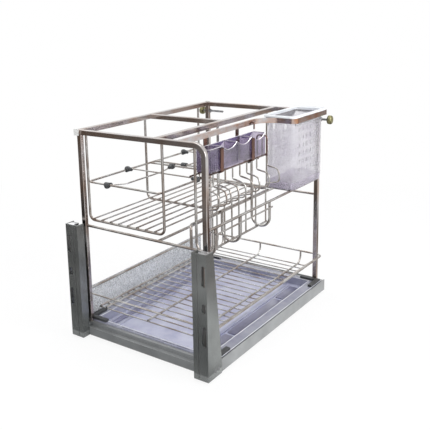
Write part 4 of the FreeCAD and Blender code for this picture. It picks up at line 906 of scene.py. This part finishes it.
@dataclass
class DividerClips(Assembly):
    """Moulded clips that grip a gallery wire and hold the end of a divider wire."""

    lead: float = 5.5
    height: float = 305.0
    divider_lift: float = 3.2
    steps: int = 24
    nose: tuple[tuple[float, float], ...] = (  # place along the clip and radius
        (0.0, 1.6), (0.35, 3.4), (1.4, 4.9), (3.6, 5.7), (7.0, 5.7), (9.4, 5.0), (11.2, 4.1),
        (13.6, 3.9), (16.2, 3.8), (17.4, 3.2), (18.0, 1.9))
    barrel: tuple[tuple[float, float], ...] = (  # place along the gallery wire and radius
        (0.0, 3.0), (0.5, 4.3), (1.6, 4.9), (10.4, 4.9), (11.5, 4.3), (12.0, 3.0))
    # Place of each clip, way to the middle, and direction of the divider's wire
    places: dict[str, tuple] = field(default_factory=lambda: {
        "front_cross_divider": ((140.0, 1, Axis.ACROSS), (140.0, -1, Axis.ACROSS)),
        "rear_cross_divider": ((335.0, 1, Axis.ACROSS), (335.0, -1, Axis.ACROSS)),
        "front_depth_divider": ((73.0, 1, Axis.ALONG), (83.0, -1, Axis.ALONG)),
        "rear_depth_divider": ((100.0, 1, Axis.ALONG), (100.0, -1, Axis.ALONG)),
    })

    def add_clip(self, mesh: Mesh, start: Vector, direction: Vector, grip: Vector, lift: float) -> None:
        """Adds one clip: a barrel round the gallery wire and a nose towards the divider wire.

        Args:
            mesh: Mesh that gets the clip.
            start: Outer end of the clip, at the gallery wire's height.
            direction: From the outer end towards the divider wire.
            grip: Direction of the gallery wire.
            lift: How far the divider wire is above the gallery wire, in millimetres.
        """
        lathe(mesh, start + Vector((0, 0, lift * MM * 0.5)), direction, self.nose, self.steps)
        half = self.barrel[-1][0] / 2
        lathe(mesh, start + direction * self.lead * MM - grip * half * MM, grip, self.barrel, self.steps)

    def build(self) -> None:
        """Builds the clips of the four dividers."""
        up = at(0, 0, self.height).z
        for name, clips in self.places.items():
            low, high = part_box(name + "_clips")
            mesh = bmesh.new()
            lift = self.divider_lift if "cross" in name else -self.divider_lift
            for place, toward, axis in clips:
                if axis is Axis.ACROSS:
                    start = Vector((low.x if toward > 0 else high.x, at(0, place, 0).y, up))
                    grip = Axis.ALONG.value
                else:
                    start = Vector((at(place, 0, 0).x, low.y if toward > 0 else high.y, up))
                    grip = Axis.ACROSS.value
                self.add_clip(mesh, start, axis.value * toward, grip, lift)
            piece = self.add(name + "_moulded_clips", mesh, Finish.DARK, name, "dark_plastic")
            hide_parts(name + "_clips")


@dataclass
class Buffers(Assembly):
    """Threaded rods through the rear posts, with turned brass knobs."""

    along: float = 441.0
    up: float = 387.0
    rod: float = 2.5
    rod_length: float = 58.5
    rod_start: float = 4.5
    rod_steps: int = 16
    pitch: float = 0.8
    thread: float = 0.42
    knob: tuple[tuple[float, float], ...] = (  # place along the knob and radius
        (0.0, 4.0), (0.25, 6.6), (0.9, 8.1), (2.0, 9.1), (3.2, 9.5), (7.4, 9.5), (8.6, 9.0),
        (9.3, 7.6), (9.5, 5.0), (10.0, 4.2), (10.0, 2.6))
    knob_steps: int = 96
    flute: float = 0.45
    flutes: int = 32
    # Outer end of each knob and its way to the middle
    ends: dict[str, tuple[float, int]] = field(default_factory=lambda: {
        "left": (1.0, 1), "right": (336.0, -1)})

    def add_thread(self, mesh: Mesh, start: Vector, direction: Vector) -> None:
        """Adds a rod with a V thread wound along it.

        Args:
            mesh: Mesh that gets the rod.
            start: Its first end.
            direction: Its axis.
        """
        first, second = sides_of(direction)
        rings = []
        for half in range(2 * int(self.rod_length / self.pitch) + 1):
            ring = []
            for index in range(self.rod_steps):
                share = index / self.rod_steps
                angle = 2 * math.pi * share
                along = min(max((half / 2 + share - 0.5) * self.pitch, 0.0), self.rod_length)
                reach = self.rod if half % 2 else self.rod - self.thread
                ring.append(start + direction * along * MM
                            + (first * math.cos(angle) + second * math.sin(angle)) * reach * MM)
            rings.append(ring)
        add_rings(mesh, rings)

    def build(self) -> None:
        """Builds both rods and knobs."""
        for side, (end, inward) in self.ends.items():
            direction = Axis.ACROSS.value * inward
            mesh = bmesh.new()
            lathe(mesh, at(end, self.along, self.up), direction, self.knob, self.knob_steps, self.flute,
                  self.flutes)
            knob = self.add(side + "_fluted_knob", mesh, Finish.BRASS, side + "_buffer_knob", "brass")
            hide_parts(side + "_buffer_knob")
            mesh = bmesh.new()
            self.add_thread(mesh, at(end + inward * self.rod_start, self.along, self.up), direction)
            rod = self.add(side + "_threaded_rod", mesh, Finish.FASTENER, side + "_buffer_rod",
                           "fastener_steel", 80.0)
            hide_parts(side + "_buffer_rod")


@dataclass
class DripTray(Assembly):
    """Raised bands, partly painted shade, edges of painted highlight and slots of painted shadow of the clear
    tray.
    """

    well: Box = (29.0, 29.0, 295.0, 421.0)
    floor: float = 7.5
    deck: float = 22.0
    band_width: float = 8.0
    band_corner: float = 3.0
    depth_bands: tuple[float, ...] = (248.0, 284.0, 56.0, 32.0)
    depth_band_gap: float = 14.0
    depth_band_height: float = 3.0
    cross_bands: tuple[float, ...] = (32.0, 410.0)
    cross_band_ends: tuple[float, float] = (68.0, 244.0)
    cross_band_height: float = 2.5
    shaded_bands: tuple[tuple[float, float], ...] = ((260.0, 20.0), (43.0, 10.0))  # place and width
    # Place and length
    shaded_runs: tuple[tuple[float, float], ...] = ((45.0, 88.0), (141.0, 186.0), (335.0, 70.0))
    shaded_height: float = 2.2
    shaded_corner: float = 2.5
    edge: float = 1.2
    edge_corner: float = 0.5
    edge_ends: tuple[float, float] = (27.0, 423.0)
    cross_edges: tuple[float, float] = (25.6, 423.0)
    edge_rise: tuple[float, float] = (1.7, 2.9)
    edge_reach: float = 2.6
    flange: tuple[float, float] = (11.0, 318.5)
    flange_ends: tuple[float, float] = (19.0, 436.0)
    side_slots: tuple[float, ...] = tuple(64.0 + 22.0 * index for index in range(16))
    side_slot: tuple[float, float, float] = (15.9, 17.3, 14.0)  # near and far side, length
    front_slots: tuple[float, ...] = tuple(95.0 + 33.0 * index for index in range(5))
    front_slot: tuple[float, float, float] = (21.8, 23.2, 29.0)  # near and far side, length
    slot_play: float = 0.2
    # Dark strips in the slots and in the gap at the right side: painted shadow
    shadow_corner: float = 0.3
    shadow_foot: float = 0.1
    shadow_top: float = 2.1
    gap_shadow: Box = (318.8, 12.0, 320.3, 438.0)
    gap_shadow_top: float = 1.6

    def build(self) -> None:
        """Builds the relief of the tray's floor, its edge highlights and the painted shadow under its slots.
        """
        left, front, right, rear = self.well
        low = self.floor - SINK
        mesh = bmesh.new()
        for across in self.depth_bands:
            block(mesh, (across, front + self.depth_band_gap, low),
                  (across + self.band_width, rear - self.depth_band_gap,
                   self.floor + self.depth_band_height), self.band_corner, 4)
        for along in self.cross_bands:
            block(mesh, (self.cross_band_ends[0], along, low),
                  (self.cross_band_ends[1], along + self.band_width,
                   self.floor + self.cross_band_height), self.band_corner, 4)
        self.add("tray_bands", mesh, Finish.TRAY, "drawer", "clear_tray_plastic")
        # Darker bands on the floor: partly thick styrene, partly painted shade
        mesh = bmesh.new()
        for across, width in self.shaded_bands:
            for along, length in self.shaded_runs:
                block(mesh, (across, along, low), (across + width, along + length,
                                                   self.floor + self.shaded_height), self.shaded_corner)
        self.add("tray_shaded_bands", mesh, Finish.DEEP_SHADE, "drawer", "clear_tray_plastic")
        # Near white strips along the well and the flange: painted highlight
        mesh = bmesh.new()
        low, high = [self.deck + rise for rise in self.edge_rise]
        reach = self.edge_reach
        stretches = [(across, self.edge_ends[0], across + self.edge, self.edge_ends[1])
                     for across in (left - reach, right + reach - self.edge)]
        stretches += [(left - reach, along, right + reach, along + self.edge)
                      for along in self.cross_edges]
        stretches += [(across, self.flange_ends[0], across + self.edge, self.flange_ends[1])
                      for across in (self.flange[1] - self.edge - self.slot_play,
                                     self.flange[0] + self.slot_play)]
        for box in stretches:
            block(mesh, (*box[:2], low), (*box[2:], high), self.edge_corner)
        self.add("tray_edge_highlights", mesh, Finish.EDGE_HIGHLIGHT, "drawer", "clear_tray_plastic")
        # Dark strips under the slots and in the right gap: painted shadow, not seals
        mesh = bmesh.new()
        play = self.slot_play
        near, far, length = self.side_slot
        shadow_strips = [((near, along + play, far, along + length - play), self.shadow_top)
                 for along in self.side_slots]
        near, far, length = self.front_slot
        shadow_strips += [((across + play, near, across + length - play, far), self.shadow_top)
                  for across in self.front_slots]
        for box, top in shadow_strips + [(self.gap_shadow, self.gap_shadow_top)]:
            block(mesh, (*box[:2], self.deck + self.shadow_foot), (*box[2:], self.deck + top),
                  self.shadow_corner, 2)
        self.add("tray_painted_shadow", mesh, Finish.SHADOW, "drawer", "dark_plastic")


@dataclass
class KnifeBoxRelief(Assembly):
    """Rolled rim in painted highlight, straight far wall and moulded flutes of the clear knife box."""

    left: float = 254.0
    right: float = 283.0
    front: float = 58.0
    rear: float = 252.0
    foot: float = 345.0
    top: float = 386.0
    wall: float = 1.5
    partitions: tuple[float, ...] = (98.0, 147.3, 200.4)
    dip: float = 9.0
    scallop: float = 38.0
    play: float = 0.05
    rim_half: tuple[float, float] = (0.9, 0.6)
    rim_inset: float = 0.7
    rim_steps: int = 130
    rim_turns: int = 8
    cap_half: float = 0.9
    cap_inset: float = 1.0
    cap_rise: float = 0.7
    fill_steps: int = 40
    fill_least: float = 0.4
    end_flutes: int = 7
    end_flute_first: float = 3.0
    side_flutes: int = 5
    side_flute_first: float = 4.0
    side_flute_pitch: float = 5.5

    def cells(self) -> list[tuple[float, float]]:
        """Returns the front and rear partition of each scalloped cell."""
        return list(zip(self.partitions, self.partitions[1:] + (self.rear,)))

    def height(self, along: float) -> float:
        """Height of the scalloped edge.

        Args:
            along: Place along the box.

        Returns:
            The height there.
        """
        for before, after in self.cells():
            if before < along < after:
                reach = along - (before + after) / 2
                drop = self.dip - self.scallop + math.sqrt(max(self.scallop ** 2 - reach ** 2, 0.0))
                return self.top - max(drop, 0.0)
        return self.top

    def add_rim(self, mesh: Mesh, across: float, scalloped: bool) -> None:
        """Adds the rolled edge of one long wall, which carries the painted highlight.

        Args:
            mesh: Mesh that gets the edge.
            across: Middle of the wall.
            scalloped: Whether the edge dips between the partitions.
        """
        wide, tall = self.rim_half
        turns = [2 * math.pi * turn / self.rim_turns for turn in range(self.rim_turns)]
        start, end = self.front + self.rim_inset, self.rear - self.rim_inset
        rings = []
        for index in range(self.rim_steps + 1):
            along = start + (end - start) * index / self.rim_steps
            up = self.height(along) if scalloped else self.top
            rings.append([at(across + wide * math.cos(turn), along, up + tall * math.sin(turn))
                          for turn in turns])
        add_rings(mesh, rings)

    def add_far_wall(self, mesh: Mesh) -> None:
        """Adds what fills the dips of the far wall, whose edge is straight.

        Args:
            mesh: Mesh that gets the fillings.
        """
        near, far = self.left + self.play, self.left + self.wall - self.play
        for before, after in self.cells():
            rings = []
            for index in range(self.fill_steps + 1):
                along = before + (after - before) * index / self.fill_steps
                low = self.height(along) + self.play
                if low < self.top - self.fill_least:
                    rings.append([at(near, along, low), at(near, along, self.top),
                                  at(far, along, self.top), at(far, along, low)])
            add_rings(mesh, rings)

    def add_flutes(self, mesh: Mesh) -> None:
        """Adds the upright flutes of the front end and of the partitions.

        Args:
            mesh: Mesh that gets the flutes.
        """
        span = self.right - self.left - 2 * self.end_flute_first
        places = [(self.left + self.end_flute_first + index * span / (self.end_flutes - 1),
                   self.front - 0.1, 0.8, 0.4, 3) for index in range(self.end_flutes)]
        for index in range(self.side_flutes):
            along = self.front + self.side_flute_first + index * self.side_flute_pitch
            places += [(across, along, 0.5, 0.8, 3) for across in (self.left, self.right)]
        places += [(self.right - 0.05, along, 0.45, 1.0, 2) for along in self.partitions]
        for across, along, half, deep, inset in places:
            block(mesh, (across - half, along - deep, self.foot + inset),
                  (across + half, along + deep, self.top - inset), 0.4, 2)

    def build(self) -> None:
        """Builds the rolled rim, the straight far wall and the flutes."""
        # The rolled rim and the caps on the partitions are near white: painted highlight
        mesh = bmesh.new()
        self.add_rim(mesh, self.left + self.rim_inset, False)
        self.add_rim(mesh, self.right - self.rim_inset, True)
        for along in (self.front + self.rim_inset, *self.partitions, self.rear - self.rim_inset):
            block(mesh, (self.left + self.cap_inset, along - self.cap_half, self.top - self.cap_inset),
                  (self.right - self.cap_inset, along + self.cap_half, self.top + self.cap_rise),
                  self.cap_rise)
        self.add("knife_box_rim_highlight", mesh, Finish.LIP_HIGHLIGHT, "knife_box", "tinted_plastic")
        mesh = bmesh.new()
        self.add_far_wall(mesh)
        self.add("knife_box_far_wall", mesh, Finish.RIB, "knife_box", "tinted_plastic")
        mesh = bmesh.new()
        self.add_flutes(mesh)
        self.add("knife_box_flutes", mesh, Finish.RIB, "knife_box", "tinted_plastic")


@dataclass
class BracketCapShadeAndHighlights(Assembly):
    """Inner wall and seam in painted shade, end cap, and seam and slot edges in painted highlight of each
    door bracket.
    """

    width: float = 324.0
    sheet: float = 2.0
    face: float = -18.0
    rear: float = -0.8
    seam: float = 19.0
    seam_half: float = 0.5
    seam_deep: float = 0.6
    # Across span of the dark wall that paints the shade inside each bracket
    shade_wall_span: tuple[float, float] = (17.1, 18.3)
    foot: float = 25.0
    top: float = 229.0
    top_play: float = 0.3
    cap_thick: float = 1.6
    slot_sides: tuple[float, float] = (3.0, 11.0)
    # Height of the middle and length
    slots: tuple[tuple[float, float], ...] = ((82.5, 37.0), (133.5, 17.0), (190.5, 37.0))
    # Width of the light strips along the slot sides: painted highlight
    slot_highlight: float = 0.6
    play: float = 0.05

    def build(self) -> None:
        """Builds the painted shade, the cap and the painted highlights of both brackets."""
        play, top = self.play, self.top - self.top_play
        behind = self.face + self.sheet + 2 * play
        groove = (self.face + play, self.face + self.seam_deep, 0.5, top)
        cap = top - self.cap_thick
        slots = []
        for place, length in self.slots:
            half = (length - self.slot_sides[1] + self.slot_sides[0]) / 2
            # Light strips along both sides of each slot: painted highlight
            for edge in (self.slot_sides[0] + play, self.slot_sides[1] - play - self.slot_highlight):
                slots.append((edge, edge + self.slot_highlight, self.face + 2 * play, behind - 4 * play,
                              place - half, place + half))
        shade_cap_and_highlights = {
            # Dark wall behind the slots: painted shade inside the bracket
            "wall": (Finish.PAINTED_SHADE_ZINC, "bracket_coat", [(*self.shade_wall_span, behind, self.rear, self.foot,
                                                         self.top - 2.0)]),
            # Dark strip in the groove of the seam: painted shadow
            "seam": (Finish.SHADOW, "dark_plastic", [(self.seam, self.seam + self.seam_half - play,
                                                      *groove)]),
            # Light strips beside the seam and along the slots: painted highlight; with them the cap at the
            # top
            "cap_and_highlights": (Finish.FASTENER, "bracket_coat", [
                (self.sheet + 2 * play, self.shade_wall_span[1], behind, self.rear, cap, top),
                (self.seam - self.seam_half + play, self.seam - play, *groove), *slots]),
        }
        for side in ("left", "right"):
            for name, (finish, slot, stretches) in shade_cap_and_highlights.items():
                mesh = bmesh.new()
                for near, far, along, end, low, high in stretches:
                    if side == "right":
                        near, far = self.width - far, self.width - near
                    block(mesh, (near, along, low), (far, end, high), 0.15, 2)
                self.add(side + "_bracket_" + name, mesh, finish, "drawer", slot)


@dataclass
class WeldBeads(Assembly):
    """Small beads of resistance weld where wires cross."""

    bottle_wires: tuple[float, ...] = tuple(32 + 21.5 * index for index in range(8))
    hoops: tuple[float, ...] = (30.0, 207.0, 402.0)
    hoop_weld: float = 230.2
    grid: tuple[float, ...] = tuple(24 + index * 411 / 21 for index in range(22))
    depth_wires: tuple[float, ...] = (43.0, 58.0, 162.0, 266.0)
    depth_weld: float = 54.0
    rim: float = 314.6
    rim_weld: float = 79.6
    hoop_bead: Point = (1.9, 2.6, 1.1)
    depth_bead: Point = (2.0, 1.5, 0.9)
    rim_bead: Point = (1.2, 1.5, 1.0)

    def build(self) -> None:
        """Builds the beads of both baskets."""
        mesh = bmesh.new()
        for across in self.bottle_wires:
            for along in self.hoops:
                bead(mesh, at(across, along, self.hoop_weld), self.hoop_bead)
        self.add("bottle_basket_welds", mesh, Finish.WIRE, "drawer", "bright_steel")
        mesh = bmesh.new()
        for along in self.grid:
            for across in self.depth_wires:
                bead(mesh, at(across, along, self.depth_weld), self.depth_bead)
            bead(mesh, at(self.rim, along, self.rim_weld), self.rim_bead)
        self.add("lower_basket_welds", mesh, Finish.WIRE, "drawer", "bright_steel")


# Studio


@dataclass
class Studio:
    """Pale floor, soft lamps and the camera."""

    azimuth: float = 36.79
    elevation: float = 12.30
    roll: float = 1.58
    distance: float = 1.39417
    target: Point = (92.07, 225.0, 320.35)
    lens: float = 56.04
    shift: tuple[float, float] = (0.0846, -0.1326)
    aim: Point = (0.0, 0.0, 0.2)
    # Name, place, side, watts, and whether the plate shows it
    lamps: tuple[tuple[str, Point, float, float, bool], ...] = (
        ("key_lamp", (2.2, 0.3, 1.0), 1.3, 40.0, True),
        ("front_lamp", (0.3, -2.2, 1.3), 1.5, 30.0, False),
        ("top_lamp", (-0.2, 0.4, 2.6), 2.0, 34.0, True),
        ("left_lamp", (-2.0, 0.6, 1.4), 1.5, 12.0, True))
    # Middle, reach, and colours from the rim to the middle
    cloths: tuple[tuple[Point, Point, Stops], ...] = (
        ((-1.9, -1.9, 0.0), (2.1, 2.1, 2.1), (
            (0.0, "#ffffff"), (0.09, "#d9d7d5"), (0.25, "#97918d"), (0.41, "#6f6864"), (0.56, "#807b79"),
            (0.67, "#716c6a"), (0.757, "#5f5953"), (0.81, "#66584d"), (0.876, "#7c6855"),
            (0.96, "#3f332c"))),
        ((0.57, 0.39, 0.0), (0.43, 0.5, 1.0), ((0.0, "#ffffff"), (0.3, "#8f847f"), (0.8, "#64564f"))),
        ((1.2, 3.0, 0.0), (1.3, 1.3, 1.3), ((0.0, "#ffffff"), (0.5, "#a08a7e"), (1.0, "#7d6557"))),
        ((-0.02, -0.36, 0.0), (0.5, 0.22, 1.0), ((0.0, "#ffffff"), (0.3, "#858585"), (0.7, "#555656"))),
        ((-0.6, -0.64, 0.0), (0.6, 0.5, 1.0), ((0.0, "#ffffff"), (0.3, "#7f7b79"), (0.7, "#53504e"))),
    )

    def place_camera(self) -> None:
        """Places the camera at the photograph's viewing angle."""
        turn, rise, roll = (math.radians(value) for value in (self.azimuth, self.elevation, self.roll))
        back = Vector((math.sin(turn) * math.cos(rise), -math.cos(turn) * math.cos(rise), math.sin(rise)))
        side = (-back).cross(Vector((0, 0, 1))).normalized()
        down = (-back).cross(side).normalized()
        right = side * math.cos(roll) + down * math.sin(roll)
        low = down * math.cos(roll) - side * math.sin(roll)
        data = bpy.data.cameras.new("camera")
        data.sensor_fit = "AUTO"
        data.sensor_width = 36.0
        data.lens = self.lens
        data.shift_x, data.shift_y = self.shift
        data.clip_end = 50.0
        camera = put("camera", data)
        matrix = Matrix((right, -low, back)).transposed().to_4x4()
        matrix.translation = at(*self.target) + back * self.distance
        camera.matrix_world = matrix
        bpy.context.scene.camera = camera

    def seen(self, brush: Brush) -> Socket:
        """Tells the rays that show something from those that only light it.

        Args:
            brush: Adds the nodes.

        Returns:
            1 for rays from the camera, from metal and through clear plastic, and 0 for the rest.
        """
        path = brush.add("LightPath")
        shown = path.outputs["Is Camera Ray"]
        for kind in ("Is Glossy Ray", "Is Transmission Ray"):
            shown = brush.add("Math", {0: shown, 1: path.outputs[kind]}, {"operation": "MAXIMUM"}).outputs[0]
        return shown

    def stage_sheet(self, name: str, material: Material, segments: int, size: float, drop: float) -> Object:
        """Lays a flat sheet that belongs to the studio and not to the rack.

        Args:
            name: Name of the sheet.
            material: What it is made of.
            segments: Faces along each side.
            size: Half its side in metres.
            drop: How far it lies below the cabinet's floor, in metres.

        Returns:
            The sheet.
        """
        mesh = bmesh.new()
        bmesh.ops.create_grid(mesh, x_segments=segments, y_segments=segments, size=size)
        sheet = put_mesh(name, mesh, material)
        sheet.location = (0, 0, -drop)
        return sheet

    def lay_floor(self) -> None:
        """Lays the pale floor, which shows near white and keeps the rack's shadow."""
        material, brush = blank_material("pale_studio_floor")
        places = brush.add("TexCoord").outputs["Object"]
        speckle = brush.add("TexNoise", {"Vector": places, "Scale": 3.0, "Detail": 2.0})
        ramp = brush.add("ValToRGB", {"Fac": speckle.outputs["Fac"]},
                         stops=((0.3, "#f4f4f4"), (0.7, "#f7f7f7")))
        matte = brush.add("BsdfDiffuse", {"Color": ramp.outputs["Color"]})
        glow = brush.add("Emission", {"Color": linear("#ffffff"), "Strength": 1.0})
        near = brush.add("Mapping", {"Vector": places, "Scale": (1.3, 1.3, 1.3)},
                         {"vector_type": "TEXTURE"})
        fade = brush.add("TexGradient", {"Vector": near.outputs["Vector"]},
                         {"gradient_type": "SPHERICAL"})
        glowing = brush.add("MapRange", {
            "Value": fade.outputs["Fac"], "From Max": 0.6, "To Min": 1.0, "To Max": 0.85})
        share = brush.add("Math", {0: self.seen(brush), 1: glowing.outputs["Result"]},
                          {"operation": "MULTIPLY"})
        both = brush.add("MixShader", {
            "Fac": share.outputs[0], 1: matte.outputs["BSDF"], 2: glow.outputs["Emission"]})
        brush.add("OutputMaterial", {"Surface": both.outputs["Shader"]})
        floor = self.stage_sheet("floor", material, 8, 12.0, 0.0004)

    def light_world(self) -> None:
        """Lights the room softly and shows it white behind the rack."""
        world = bpy.data.worlds.new("soft_room")
        world.use_nodes = True
        brush = Brush(world.node_tree)
        white = brush.add("Background", {"Color": linear("#ffffff"), "Strength": 1.0})
        soft = brush.add("Background", {"Color": linear("#f4f6fa"), "Strength": 0.3})
        both = brush.add("MixShader", {"Fac": self.seen(brush), 1: soft.outputs[0], 2: white.outputs[0]})
        brush.add("OutputWorld", {"Surface": both.outputs[0]})
        bpy.context.scene.world = world

    def add_lamp(self, name: str, place: Point, size: float, power: float, mirrored: bool) -> None:
        """Adds a soft square lamp that faces the rack.

        Args:
            name: Name of the lamp.
            place: Where it stands, in metres.
            size: Side of the square in metres.
            power: Watts.
            mirrored: Whether the plate shows it.
        """
        data = bpy.data.lights.new(name, "AREA")
        data.size = size
        data.energy = power
        lamp = put(name, data)
        lamp.location = place
        lamp.visible_glossy = mirrored
        lamp.rotation_mode = "QUATERNION"
        lamp.rotation_quaternion = (Vector(self.aim) - Vector(place)).to_track_quat("-Z", "Y")

    def lay_cloths(self) -> None:
        """Lays the dark cloths that only the plate sees, which give bright metal its contrast."""
        material, brush = blank_material("dark_cloths_beside_the_floor")
        places = brush.add("TexCoord").outputs["Object"]
        colour = None
        for centre, reach, stops in self.cloths:
            spot = brush.add("Mapping", {"Vector": places, "Location": centre, "Scale": reach},
                             {"vector_type": "TEXTURE"})
            fade = brush.add("TexGradient", {"Vector": spot.outputs["Vector"]},
                             {"gradient_type": "SPHERICAL"})
            cloth = brush.add("ValToRGB", {"Fac": fade.outputs["Fac"]}, stops=stops).outputs["Color"]
            colour = cloth if colour is None else brush.add(
                "Mix", {"Factor": 1.0, 6: colour, 7: cloth},
                {"data_type": "RGBA", "blend_type": "MULTIPLY"}).outputs[2]
        glow = brush.add("Emission", {"Color": colour})
        brush.add("OutputMaterial", {"Surface": glow.outputs["Emission"]})
        sheet = self.stage_sheet("dark_cloths", material, 4, 6.0, 0.0002)
        sheet.visible_camera = False
        sheet.visible_diffuse = False
        sheet.visible_transmission = False
        sheet.visible_shadow = False

    def build(self) -> None:
        """Sets up the floor, the room, the lamps, the cloths and the camera."""
        self.lay_floor()
        self.light_world()
        for lamp in self.lamps:
            self.add_lamp(*lamp)
        self.lay_cloths()
        self.place_camera()


def main() -> None:
    """Builds the studio, dresses the nodes and adds the detailed pieces."""
    logging.basicConfig(level=logging.INFO, format="%(name)s: %(message)s")
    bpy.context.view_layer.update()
    bpy.context.scene.view_settings.view_transform = "Standard"
    Studio().build()
    wardrobe = Wardrobe()
    for kind in (Dressing, CutleryHolder, SidePanel, DividerClips, Buffers, DripTray, KnifeBoxRelief,
                 BracketCapShadeAndHighlights, WeldBeads):
        kind(wardrobe).build()
        log.info("built %s", kind.__name__)


if __name__ == "__main__":
    main()
